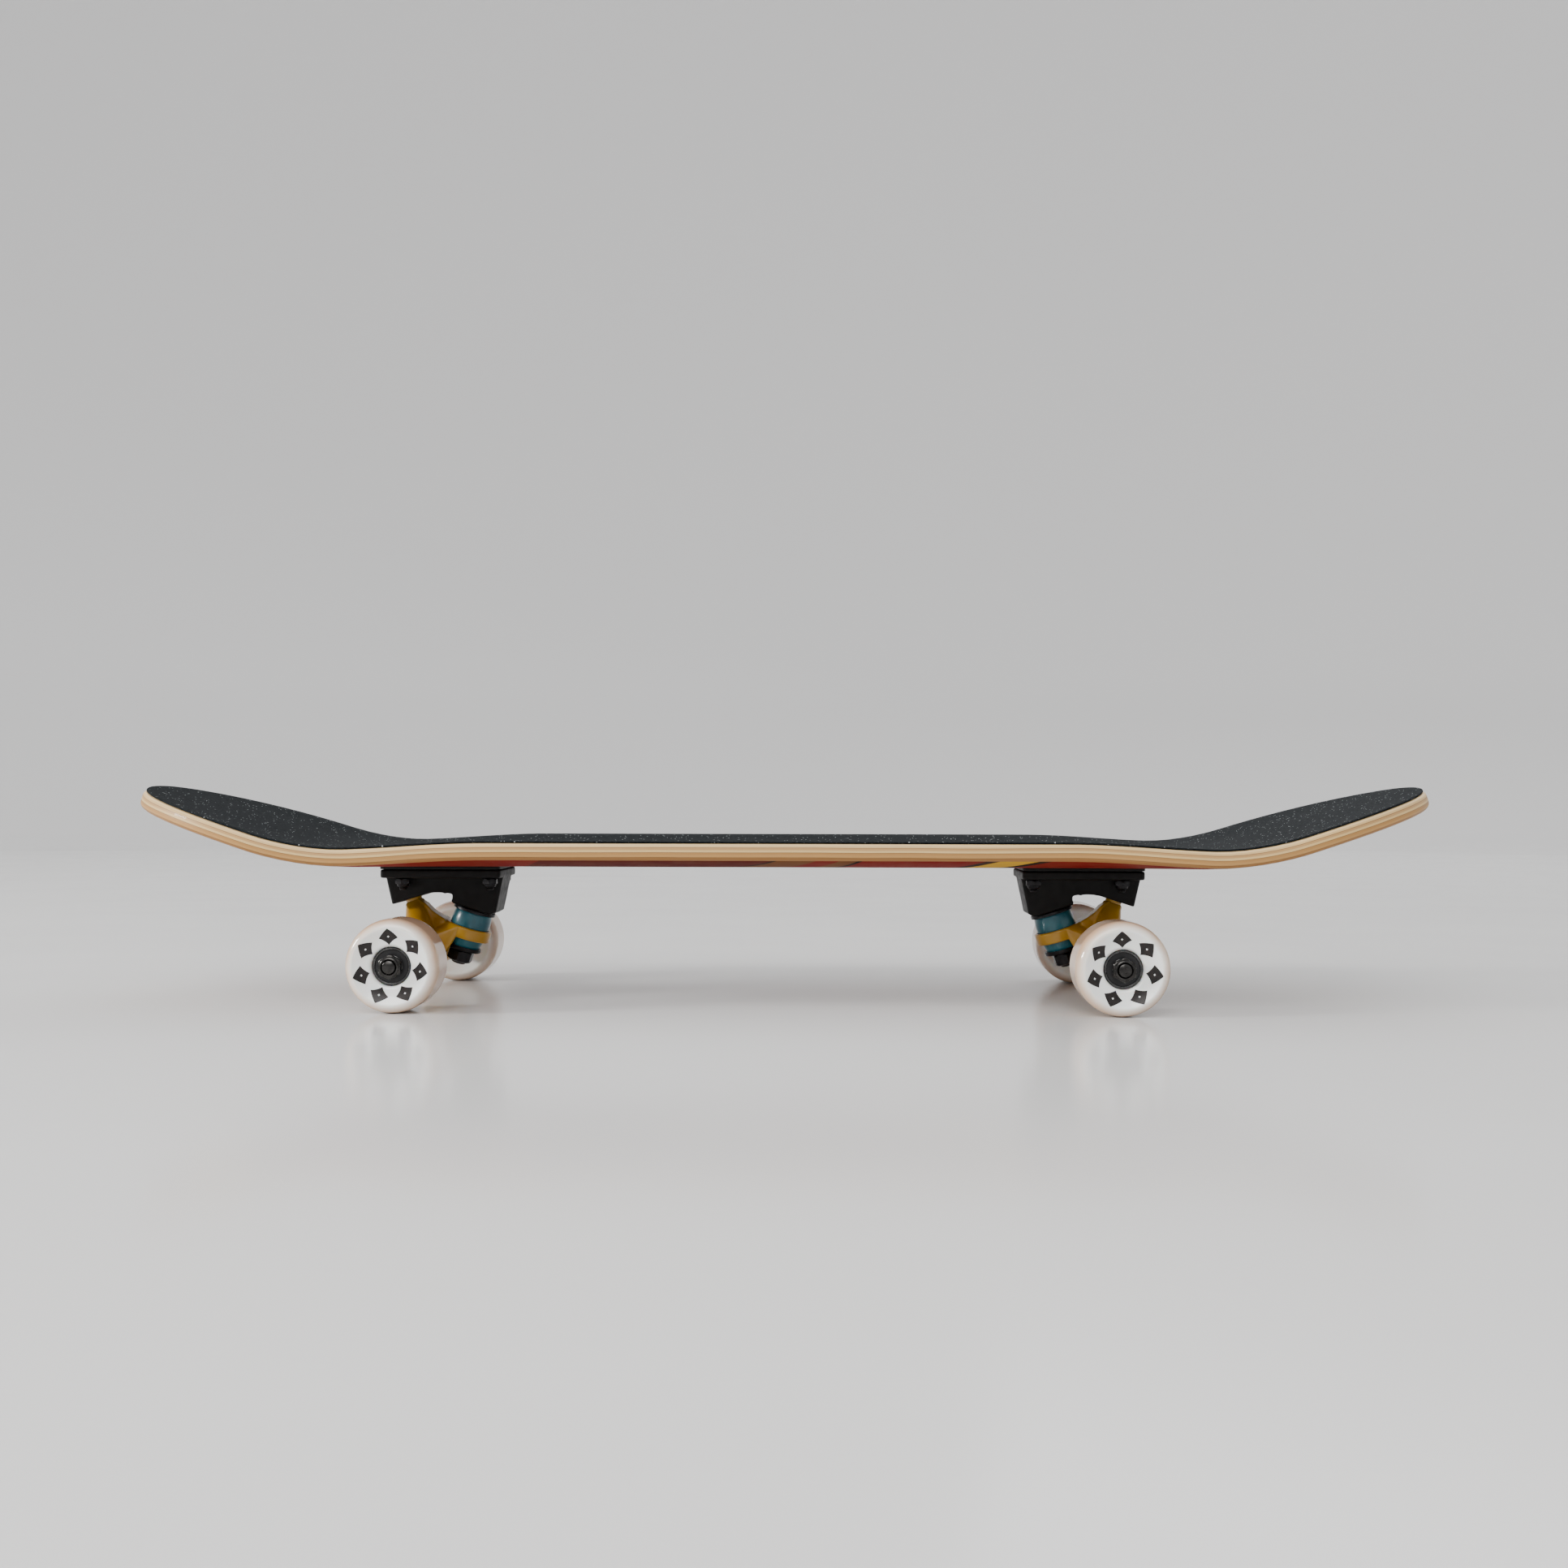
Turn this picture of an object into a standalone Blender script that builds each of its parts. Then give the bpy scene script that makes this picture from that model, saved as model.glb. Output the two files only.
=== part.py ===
"""A street skateboard: a pressed seven-ply deck on two steering trucks with four wheels.

Metres, +Z up, +X towards the nose and +Y to the rider's left. The origin is on the ground, midway
between the two tips.
"""

import math

import bmesh
import bpy
from mathutils import Matrix, Vector

# Clearances
FIT_GAP = 0.0003  # between two pieces that touch or fit into each other
BALL_CLEARANCE = 0.0004  # round the hanger's pivot ball in its cup
PIVOT_FLARE = 0.0007  # by which the pivot cup opens out towards its mouth
WASHER_SWING = 0.0023  # round the lower cup washer, where the hanger swings past it

# Deck
DECK_LENGTH = 0.789
DECK_WIDTH = 0.203
PLY_STACK = 0.0097
RAIL_ROUND = 0.0030
TIP_LENGTH = 0.109  # along the surface, from the end of the parallel sides to a tip
TIP_FULLNESS = 2.13  # exponent of the superellipse; 2 is a plain ellipse
FLAT_HALF = 0.030  # half width of the flat strip along the middle
CONCAVE = 0.0067  # rise of the rails over the flat strip between the trucks
KICK_CONCAVE = 0.0023  # rise of the rails on the nose and the tail
CONCAVE_FULL = 0.165  # the concave keeps its full depth out to here
CONCAVE_SHALLOW = 0.262  # and has its kick depth from here
KICK_ANGLE = math.radians(18.0)
KICK_RADIUS = 0.185
NOSE_KICK = 0.2430  # where the nose starts to rise
TAIL_KICK = 0.2440  # where the tail starts to rise

# Grip tape
TAPE_THICKNESS = 0.0007
TAPE_INSET = 0.0012

# Trucks: positions are from the middle of the axle, x inboard and z up
NOSE_AXLE_X = 0.1961
TAIL_AXLE_X = -0.2189
TRUCK_HEIGHT = 0.052  # from the axle to the top of the baseplate
BOLT_LENGTH_SPACING = 0.0539
BOLT_WIDTH_SPACING = 0.0413
PATTERN_X = 0.0139  # middle of the bolt pattern
PLATE_SHIFT = 0.0033  # by which the baseplate's middle lies outboard of the bolt pattern's
RISER_THICKNESS = 0.0020
RISER_MARGIN = 0.0010  # by which the riser stands out all round the baseplate
PLATE_END_MARGIN = 0.00915  # from a bolt to the baseplate's end
PLATE_SIDE_MARGIN = 0.00585  # from a bolt to the baseplate's side
PLATE_CORNER = 0.0035
FLANGE_THICKNESS = 0.0052
FLANGE_BEVEL = 0.0008
BODY_HALF_WIDTH = 0.0140
PIVOT_X = -0.0136  # centre of the pivot ball
PIVOT_Z = 0.0390
PIVOT_TILT = math.radians(-18.0)
PIVOT_BALL_RADIUS = 0.0050
PIVOT_MOUTH = 0.0062  # from the ball's centre down to the mouth of the pocket
PIVOT_POST = 0.0090  # from the ball's centre down to the root of the post
POST_RUN_IN = 0.0020  # by which the post runs on into the hanger
POST_ROOT_RISE = 0.0015  # by which the post's root stands over that
POST_ROOT_WALL = 0.0003  # metal of the root outside the post
CUP_WALL = 0.0012
PIVOT_BOSS_WALL = 0.0038  # metal round the cup
OUTER_DRAFT = 0.0045  # by which the pivot end leans out towards the flange
INNER_DRAFT = 0.0050  # by which the kingpin end leans out towards the flange
ARCH_RISE = 0.0012  # height of the arch between the two ends, over the mouth of the pocket
ARCH_RUN = 0.0064
BOSS_MARGIN = 0.0004  # metal outside the bushing's edge
BOSS_HEEL = 0.0036  # cut-off corner behind the kingpin
BODY_EDGE = 0.0012  # bevel on the body's long edges
RING_X = 0.0227  # centre of the hanger's ring
RING_Z = 0.0122
KINGPIN_TILT = math.radians(17.5)
RING_RIM = 0.0018  # metal round the upper seat
RING_HALF = 0.0037
RING_PLAY = 0.00324  # between the kingpin and the ring's bore
SEAT_DEPTH = 0.0012
SEAT_CLEARANCE = 0.0005
BUSHING_RADIUS = 0.0120
BUSHING_TAPER = 0.0006  # by which the upper bushing narrows towards its washer
BUSHING_BULGE = 0.0003  # by which its side swells
UPPER_BUSHING = 0.0102  # height that shows between the ring and the boss
LOWER_BUSHING = 0.0062
LOWER_BUSHING_TOP = 0.0110  # radius at the ring
LOWER_BUSHING_END = 0.0096  # radius in the lower cup
WASHER_THICKNESS = 0.0012
WASHER_LIP = 0.0012
WASHER_PASS = 0.0012  # free height under the lower cup washer, where the hanger passes it
NUT_SWING = 0.0018  # free space round the kingpin nut
UPPER_LIP_HEIGHT = 0.0010
LOWER_LIP_HEIGHT = 0.0014
KINGPIN_RADIUS = 0.00476
KINGPIN_HEAD_FLATS = 0.0143
KINGPIN_HEAD_HEIGHT = 0.0052
KINGPIN_HEAD_DEPTH = 0.0030  # from the baseplate's top down to the head, on the kingpin's axis
KINGPIN_NUT_HEIGHT = 0.0074
KINGPIN_NUT_CHAMFER = 0.0010
KINGPIN_END = 0.0015  # thread that shows past the nut
HANGER_HALF = 0.0697
HANGER_END_RADIUS = 0.0087
HANGER_MIDDLE_RADIUS = 0.0095
HANGER_SHOULDER = 0.032  # half width of the hanger's middle, where the arms start
ARM_END = 0.012  # length of the straight end of an arm
WEB_INSET = 0.0003  # by which the webs stay inside the hanger's middle
YOKE_HALF = 0.0160
YOKE_STAND = 0.0003  # by which the metal that joins the ring stands out from it
YOKE_STEP = math.radians(18.0)
YOKE_STEP_DOWN = 0.0004  # from the ring's upper face
YOKE_DROP = 0.0016  # by which the metal behind the ring hangs below it
SADDLE_X = 0.0012  # knee between the pivot's tower and the ring
SADDLE_Z = 0.0254
AXLE_RADIUS = 0.00395
AXLE_END = 0.0004  # thread that shows past the axle nut

# Wheels, bearings and their nuts
WHEEL_RADIUS = 0.027
WHEEL_HALF = 0.016
TREAD_HALF = 0.008
WHEEL_DISH = 0.0026  # depth of the face at the hub, below the rim of the shoulder
WHEEL_SIDES = 28
CORE_RADIUS = 0.0093
SEAT_CHAMFER = 0.0016  # from the face into the bearing's seat
BEARING_RADIUS = 0.011
BEARING_WIDTH = 0.007
BEARING_INSET = 0.004  # from the wheel's widest point in to the bearing
INNER_RACE = 0.0020  # wall of the bearing's inner race
OUTER_RACE = 0.0012  # wall of its outer race
SHIELD_DEPTH = 0.0005  # by which its shield lies below the races
SPACER_WALL = 0.0014
SPEED_WASHER = 0.0010  # room that is left between a bearing and its nut
AXLE_NUT_FLATS = 0.0127
AXLE_NUT_HEIGHT = 0.0048
AXLE_NUT_CHAMFER = 0.0007

# Mounting bolts
BOLT_RADIUS = 0.0024
BOLT_HEAD_RADIUS = 0.0047
BOLT_HEAD_HEIGHT = 0.0026
BOLT_HEAD_STAND = 0.0002  # by which the head stands over the tape
BOLT_TAIL = 0.0020  # thread that shows past the nut
LOCK_NUT_FLATS = 0.0086
LOCK_NUT_HEIGHT = 0.0052

# Worked out from the sizes above
PLATE_TOP = WHEEL_RADIUS + TRUCK_HEIGHT
RISER_BOTTOM = PLATE_TOP + FIT_GAP
DECK_BOTTOM = RISER_BOTTOM + RISER_THICKNESS + FIT_GAP
DECK_TOP = DECK_BOTTOM + PLY_STACK
TAPE_TOP = DECK_TOP + FIT_GAP + TAPE_THICKNESS
FLANGE_BOTTOM = PLATE_TOP - FLANGE_THICKNESS
BOSS_END = RING_HALF + UPPER_BUSHING + WASHER_THICKNESS + 2 * FIT_GAP  # along the kingpin from the ring
BEARING_OUTER = WHEEL_HALF - BEARING_INSET
BEARING_INNER = BEARING_OUTER - BEARING_WIDTH
WHEEL_CENTRE = HANGER_HALF + FIT_GAP + SPEED_WASHER + BEARING_OUTER  # from the middle of the axle
AXLE_NUT_FACE = BEARING_OUTER + SPEED_WASHER + FIT_GAP  # from the wheel's middle
AXLE_HALF = WHEEL_CENTRE + AXLE_NUT_FACE + AXLE_NUT_HEIGHT + AXLE_END
PLATE_X = PATTERN_X - PLATE_SHIFT
PLATE_LENGTH = BOLT_LENGTH_SPACING + 2 * PLATE_END_MARGIN
PLATE_WIDTH = BOLT_WIDTH_SPACING + 2 * PLATE_SIDE_MARGIN
UPPER_SEAT = BUSHING_RADIUS + SEAT_CLEARANCE
LOWER_SEAT = LOWER_BUSHING_TOP + SEAT_CLEARANCE
RING_RADIUS = UPPER_SEAT + RING_RIM
RING_BORE = KINGPIN_RADIUS + RING_PLAY
YOKE_RADIUS = RING_RADIUS + YOKE_STAND
PIVOT_CUP_RADIUS = PIVOT_BALL_RADIUS + BALL_CLEARANCE + CUP_WALL
LOWER_CUP_RADIUS = LOWER_BUSHING_END + 2 * FIT_GAP + WASHER_LIP


# ---------------------------------------------------------------- shared tools


def clear_scene():
    for obj in list(bpy.data.objects):
        bpy.data.objects.remove(obj)


def finish(name, colour, roughness, metallic=0.0):
    """A Principled material of one colour."""
    material = bpy.data.materials.new(name)
    material.use_nodes = True
    shader = material.node_tree.nodes["Principled BSDF"]
    shader.inputs["Base Color"].default_value = (*colour, 1.0)
    shader.inputs["Roughness"].default_value = roughness
    shader.inputs["Metallic"].default_value = metallic
    return material


def mesh_from(shape, name, smooth_angle=35.0):
    """Turns a bmesh into a mesh with outward faces, shaded smooth below the given angle."""
    bmesh.ops.recalc_face_normals(shape, faces=shape.faces)
    mesh = bpy.data.meshes.new(name)
    shape.to_mesh(mesh)
    shape.free()
    mesh.shade_smooth()
    mesh.set_sharp_from_angle(angle=math.radians(smooth_angle))
    return mesh


def add_object(name, mesh, material, parent=None, location=(0, 0, 0), rotation=(0, 0, 0)):
    """Puts a mesh into the scene as one named piece."""
    obj = bpy.data.objects.new(name, mesh)
    bpy.context.scene.collection.objects.link(obj)
    if material and not mesh.materials:
        mesh.materials.append(material)
    obj.parent = parent
    obj.location = location
    obj.rotation_euler = rotation
    return obj


def add_empty(name, parent=None, location=(0, 0, 0), rotation=(0, 0, 0)):
    empty = bpy.data.objects.new(name, None)
    bpy.context.scene.collection.objects.link(empty)
    empty.empty_display_size = 0.01
    empty.parent = parent
    empty.location = location
    empty.rotation_euler = rotation
    return empty


def add_cutter(name, mesh, parent=None, location=(0, 0, 0), rotation=(0, 0, 0)):
    cutter = add_object(name, mesh, None, parent, location, rotation)
    cutter.hide_render = True
    cutter.display_type = "WIRE"
    return cutter


def boolean(obj, other, operation="DIFFERENCE"):
    modifier = obj.modifiers.new(other.name, "BOOLEAN")
    modifier.object = other
    modifier.operation = operation
    modifier.solver = "EXACT"


def spin_into(shape, profile, sides, offset=(0, 0, 0)):
    """Turns a profile of (radius, height) points about Z. One off the axis is closed into a ring."""
    points = [shape.verts.new((radius, 0, height)) for radius, height in profile]
    edges = [shape.edges.new(pair) for pair in zip(points, points[1:])]
    if min(radius for radius, _ in profile) > 0:
        edges.append(shape.edges.new((points[-1], points[0])))
    before = set(shape.verts) - set(points)
    bmesh.ops.spin(
        shape,
        geom=points + edges,
        cent=(0, 0, 0),
        axis=(0, 0, 1),
        angle=math.tau,
        steps=sides,
        use_merge=True,
    )
    made = [vertex for vertex in shape.verts if vertex not in before]
    bmesh.ops.remove_doubles(shape, verts=made, dist=1e-6)
    made = [vertex for vertex in shape.verts if vertex not in before]
    bmesh.ops.translate(shape, verts=made, vec=offset)


def turned(name, profile, sides):
    shape = bmesh.new()
    spin_into(shape, profile, sides)
    return mesh_from(shape, name)


def ring_profile(outer, inner, bottom, top):
    return [(outer, top), (outer, bottom), (inner, bottom), (inner, top)]


def rod_profile(radius, bottom, top):
    return [(0, top), (radius, top), (radius, bottom), (0, bottom)]


def quarter_round(radius, steps):
    """Points from the top of a ball down its side, as (radius, height). Four steps are a quarter turn."""
    angles = [step * math.pi / 8 for step in range(steps + 1)]
    return [(radius * math.sin(angle), radius * math.cos(angle)) for angle in angles]


def corner_radius(flats, sides):
    """Radius to the corners of a regular prism, from the distance across its flats."""
    return flats / 2 / math.cos(math.pi / sides)


def hex_nut(name, flats, bore, height, chamfer=0.0):
    """A hexagonal nut that stands on z = 0, with a round bore and its corners trimmed by a chamfer."""
    half_flat = flats / 2
    corner = corner_radius(flats, 6)
    trimmed = corner - chamfer
    levels = [(bore, bore, 0.0), (min(half_flat, trimmed), trimmed, 0.0)]
    if chamfer:
        levels.append((half_flat, corner, chamfer))
        levels.append((half_flat, corner, height - chamfer))
    levels.append((min(half_flat, trimmed), trimmed, height))
    levels.append((bore, bore, height))
    shape = bmesh.new()
    rings = []
    for flat_radius, corner_at, level in levels:
        ring = []
        for step in range(12):
            radius = flat_radius if step % 2 else corner_at
            angle = step * math.pi / 6
            ring.append(shape.verts.new((radius * math.cos(angle), radius * math.sin(angle), level)))
        rings.append(ring)
    for near, far in zip(rings, rings[1:] + rings[:1]):
        for step in range(12):
            following = (step + 1) % 12
            shape.faces.new((near[step], near[following], far[following], far[step]))
    return mesh_from(shape, name, smooth_angle=25.0)


def hull_of(name, points):
    """The convex solid round a set of points."""
    shape = bmesh.new()
    for point in points:
        shape.verts.new(point)
    found = bmesh.ops.convex_hull(shape, input=shape.verts, use_existing_faces=False)
    unused = found["geom_interior"] + found["geom_unused"]
    loose = {item for item in unused if isinstance(item, bmesh.types.BMVert)}
    bmesh.ops.delete(shape, geom=list(loose), context="VERTS")
    return mesh_from(shape, name)


def rounded_plate(name, length, width, corner, bottom, top, bevel=0.0):
    """A plate in the XY plane with round corners, middle at the origin."""
    shape = bmesh.new()
    points = []
    for quarter, (side_x, side_y) in enumerate(((1, 1), (-1, 1), (-1, -1), (1, -1))):
        for step in range(4):
            angle = (quarter + step / 3) * math.pi / 2
            x = side_x * (length / 2 - corner) + corner * math.cos(angle)
            y = side_y * (width / 2 - corner) + corner * math.sin(angle)
            points.append(shape.verts.new((x, y, bottom)))
    base = shape.faces.new(points)
    raised = bmesh.ops.extrude_face_region(shape, geom=[base])
    upper = [item for item in raised["geom"] if isinstance(item, bmesh.types.BMVert)]
    bmesh.ops.translate(shape, verts=upper, vec=(0, 0, top - bottom))
    if bevel:
        rim = [edge for edge in shape.edges if all(vertex.co.z < bottom + 1e-6 for vertex in edge.verts)]
        bmesh.ops.bevel(shape, geom=rim, offset=bevel, segments=1, affect="EDGES")
    return mesh_from(shape, name)


# ---------------------------------------------------------------- deck and tape


def kick_point(distance, start):
    """Run, rise and slope of the board's middle line, at a distance along it from the board's centre."""
    past = max(0.0, distance - start)
    turn = min(past / KICK_RADIUS, KICK_ANGLE)
    straight = max(0.0, past - KICK_RADIUS * KICK_ANGLE)
    run = min(distance, start) + KICK_RADIUS * math.sin(turn) + straight * math.cos(turn)
    rise = KICK_RADIUS * (1 - math.cos(turn)) + straight * math.sin(turn)
    return run, rise, turn


def tip_distance(start):
    """Distance along the middle line to the upper edge of a tip, whose lower round reaches the length."""
    overhang = (PLY_STACK - RAIL_ROUND) * math.sin(KICK_ANGLE) + RAIL_ROUND * (1 - math.cos(KICK_ANGLE))
    bend = start + KICK_RADIUS * KICK_ANGLE
    arc_run, _, _ = kick_point(bend, start)
    return bend + (DECK_LENGTH / 2 - overhang - arc_run) / math.cos(KICK_ANGLE)


def smooth_step(value):
    value = min(1.0, max(0.0, value))
    return value * value * (3 - 2 * value)


def pressed(along, across, height):
    """A point of the pressed board. The height is over the upper face, square to the middle line."""
    start = NOSE_KICK if along > 0 else TAIL_KICK
    run, rise, turn = kick_point(abs(along), start)
    fade = smooth_step((abs(along) - CONCAVE_FULL) / (CONCAVE_SHALLOW - CONCAVE_FULL))
    depth = CONCAVE + (KICK_CONCAVE - CONCAVE) * fade
    side = max(0.0, (abs(across) - FLAT_HALF) / (DECK_WIDTH / 2 - FLAT_HALF))
    lift = height + depth * side * side
    x = math.copysign(run - lift * math.sin(turn), along)
    return Vector((x, across, DECK_TOP + rise + lift * math.cos(turn)))


def half_outline():
    """Points of the flat outline on its +Y side, from the tail's tip to the nose's, as (along, across)."""
    points = []
    for sign, start in ((-1, TAIL_KICK), (1, NOSE_KICK)):
        tip = tip_distance(start)
        shoulder = tip - TIP_LENGTH
        side = []
        for step in range(9):
            angle = step * math.pi / 16
            reach = math.cos(angle) ** (2 / TIP_FULLNESS) if step < 8 else 0.0
            across = math.sin(angle) ** (2 / TIP_FULLNESS)
            side.append((sign * (shoulder + TIP_LENGTH * reach), DECK_WIDTH / 2 * across))
        bends = [shoulder] + [place for place in (start, CONCAVE_FULL) if place < shoulder]
        for outer, inner in zip(bends, bends[1:]):
            for step in range(1, 6):
                side.append((sign * (outer + (inner - outer) * step / 5), DECK_WIDTH / 2))
        points.append(side)
    tail, nose = points
    return tail + [(0.0, DECK_WIDTH / 2)] + nose[::-1]


def inset_outline(points, distance):
    """The half outline moved inwards, square to itself."""
    count = len(points)
    moved = []
    for index, (along, across) in enumerate(points):
        before = points[index - 1] if index > 0 else (points[1][0], -points[1][1])
        after = points[index + 1] if index < count - 1 else (points[-2][0], -points[-2][1])
        way = Vector((after[0] - before[0], after[1] - before[1])).normalized()
        moved.append((along + way.y * distance, max(0.0, across - way.x * distance)))
    return moved


def pressed_sheet(name, inset, bottom, top, edge_round, edge_steps):
    """A closed sheet that follows the pressed board between two heights, its edge round or square."""
    outline = half_outline()
    section = []
    for step in range(edge_steps + 1):
        angle = step * math.pi / 2 / max(1, edge_steps)
        section.append((edge_round * (1 - math.sin(angle)), top - edge_round * (1 - math.cos(angle))))
    section += [(depth, bottom + (top - height)) for depth, height in reversed(section)]
    flat = FLAT_HALF / (DECK_WIDTH / 2)
    curved = [flat + (1 - flat) * step / 3 for step in range(3)]
    columns = [-1.0] + [-value for value in reversed(curved)] + curved + [1.0]
    shape = bmesh.new()
    rings = []
    for depth, height in section:
        side = inset_outline(outline, inset + depth)
        loop = side + [(along, -across) for along, across in side[-2:0:-1]]
        rings.append([shape.verts.new(pressed(along, across, height)) for along, across in loop])
    for upper, lower in zip(rings, rings[1:]):
        for index in range(len(upper)):
            following = (index + 1) % len(upper)
            shape.faces.new((upper[index], upper[following], lower[following], lower[index]))
    last = len(outline) - 1
    for ring, (depth, height) in ((rings[0], section[0]), (rings[-1], section[-1])):
        side = inset_outline(outline, inset + depth)
        rows = [[ring[0]] * len(columns)]
        for index in range(1, last):
            along, across = side[index]
            row = [shape.verts.new(pressed(along, across * share, height)) for share in columns[1:-1]]
            rows.append([ring[-index]] + row + [ring[index]])
        rows.append([ring[last]] * len(columns))
        for near, far in zip(rows, rows[1:]):
            for index in range(len(columns) - 1):
                corners = [near[index], near[index + 1], far[index + 1], far[index]]
                shape.faces.new(list(dict.fromkeys(corners)))
    return mesh_from(shape, name)


def bolt_places():
    """Where the eight bolts stand: (name, x, y)."""
    places = []
    for end, axle_x, way in (("nose", NOSE_AXLE_X, -1), ("tail", TAIL_AXLE_X, 1)):
        for along_name, along in (("inner", 1), ("outer", -1)):
            for side_name, side in (("left", 1), ("right", -1)):
                x = axle_x + way * (PATTERN_X + along * BOLT_LENGTH_SPACING / 2)
                places.append((f"{end}_{along_name}_{side_name}", x, side * BOLT_WIDTH_SPACING / 2))
    return places


def bolt_hole_cutter(name, profile):
    """One cutter that makes the same round hole at all eight bolts."""
    shape = bmesh.new()
    for _, x, y in bolt_places():
        spin_into(shape, profile, 12, offset=(x, y, 0))
    return add_cutter(name, mesh_from(shape, name))


def build_deck(maple, grit):
    deck = add_object("deck", pressed_sheet("deck", 0.0, -PLY_STACK, 0.0, RAIL_ROUND, 2), maple)
    tape_mesh = pressed_sheet("grip_tape", TAPE_INSET, FIT_GAP, FIT_GAP + TAPE_THICKNESS, 0.0, 0)
    tape = add_object("grip_tape", tape_mesh, grit)
    head = BOLT_HEAD_RADIUS + FIT_GAP
    shank = BOLT_RADIUS + FIT_GAP
    cone_top = TAPE_TOP + BOLT_HEAD_STAND
    cone_bottom = cone_top - BOLT_HEAD_HEIGHT - FIT_GAP
    reach = 2 * PLY_STACK
    countersunk = [
        (0, DECK_TOP + reach),
        (head, DECK_TOP + reach),
        (head, cone_top - FIT_GAP),
        (shank, cone_bottom),
        (shank, DECK_BOTTOM - reach),
        (0, DECK_BOTTOM - reach),
    ]
    boolean(deck, bolt_hole_cutter("deck_bolt_holes", countersunk))
    boolean(tape, bolt_hole_cutter("tape_bolt_holes", rod_profile(head, DECK_BOTTOM, DECK_TOP + reach)))


def build_bolts(black_steel, nut_steel):
    top = TAPE_TOP + BOLT_HEAD_STAND
    nut_top = FLANGE_BOTTOM - FIT_GAP
    nut_bottom = nut_top - LOCK_NUT_HEIGHT
    profile = [
        (0, 0),
        (BOLT_HEAD_RADIUS, 0),
        (BOLT_HEAD_RADIUS, -FIT_GAP),
        (BOLT_RADIUS, -BOLT_HEAD_HEIGHT),
        (BOLT_RADIUS, nut_bottom - BOLT_TAIL - top),
        (0, nut_bottom - BOLT_TAIL - top),
    ]
    bolt_mesh = turned("mounting_bolt", profile, 12)
    nut_mesh = hex_nut("lock_nut", LOCK_NUT_FLATS, BOLT_RADIUS + FIT_GAP, LOCK_NUT_HEIGHT)
    for name, x, y in bolt_places():
        add_object(f"bolt_{name}", bolt_mesh, black_steel, None, (x, y, top))
        add_object(f"lock_nut_{name}", nut_mesh, nut_steel, None, (x, y, nut_bottom))


# ---------------------------------------------------------------- trucks


def kingpin_slope(along, across):
    """(x, z) from the middle of the axle, of a point along the kingpin's axis from the ring, and across."""
    x = RING_X + along * math.sin(KINGPIN_TILT) + across * math.cos(KINGPIN_TILT)
    z = RING_Z + along * math.cos(KINGPIN_TILT) - across * math.sin(KINGPIN_TILT)
    return x, z


def pivot_slope(along, across):
    """(x, z) from the middle of the axle, of a point along the pivot's axis from the ball, and across."""
    x = PIVOT_X + along * math.sin(PIVOT_TILT) + across * math.cos(PIVOT_TILT)
    z = PIVOT_Z + along * math.cos(PIVOT_TILT) - across * math.sin(PIVOT_TILT)
    return x, z


def head_base():
    """Where the kingpin's head starts, along its axis from the ring."""
    top_of_axis = (TRUCK_HEIGHT - RING_Z) / math.cos(KINGPIN_TILT)
    return top_of_axis - KINGPIN_HEAD_DEPTH - KINGPIN_HEAD_HEIGHT


def baseplate_body_mesh():
    """The block under the flange, as its side outline pulled out across the truck."""
    under_flange = TRUCK_HEIGHT - FLANGE_THICKNESS / 2
    pivot_wall = PIVOT_CUP_RADIUS + FIT_GAP + PIVOT_BOSS_WALL
    boss = BUSHING_RADIUS + BOSS_MARGIN
    inner_mouth = pivot_slope(-PIVOT_MOUTH, pivot_wall)
    outer_mouth = pivot_slope(-PIVOT_MOUTH, -pivot_wall)
    boss_outboard = kingpin_slope(BOSS_END, -boss)
    boss_inboard = kingpin_slope(BOSS_END, boss)
    arch_top = inner_mouth[1] + ARCH_RISE
    outline = [
        (outer_mouth[0] - OUTER_DRAFT, under_flange),
        outer_mouth,
        inner_mouth,
        (inner_mouth[0] + ARCH_RUN, arch_top),
        (inner_mouth[0] + 2 * ARCH_RUN, arch_top),
        (boss_outboard[0] + ARCH_RISE, arch_top - ARCH_RISE),
        boss_outboard,
        boss_inboard,
        (boss_inboard[0] + BOSS_HEEL, boss_inboard[1] + BOSS_HEEL / 2),
        (boss_inboard[0] + BOSS_HEEL + INNER_DRAFT, under_flange),
    ]
    shape = bmesh.new()
    face = shape.faces.new([shape.verts.new((x, -BODY_HALF_WIDTH, z)) for x, z in outline])
    pulled = bmesh.ops.extrude_face_region(shape, geom=[face])
    far = [item for item in pulled["geom"] if isinstance(item, bmesh.types.BMVert)]
    bmesh.ops.translate(shape, verts=far, vec=(0, 2 * BODY_HALF_WIDTH, 0))
    long_edges = [edge for edge in shape.edges if abs(edge.verts[0].co.y - edge.verts[1].co.y) < 1e-6]
    bmesh.ops.bevel(shape, geom=long_edges, offset=BODY_EDGE, segments=1, affect="EDGES")
    return mesh_from(shape, "baseplate_body")


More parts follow.
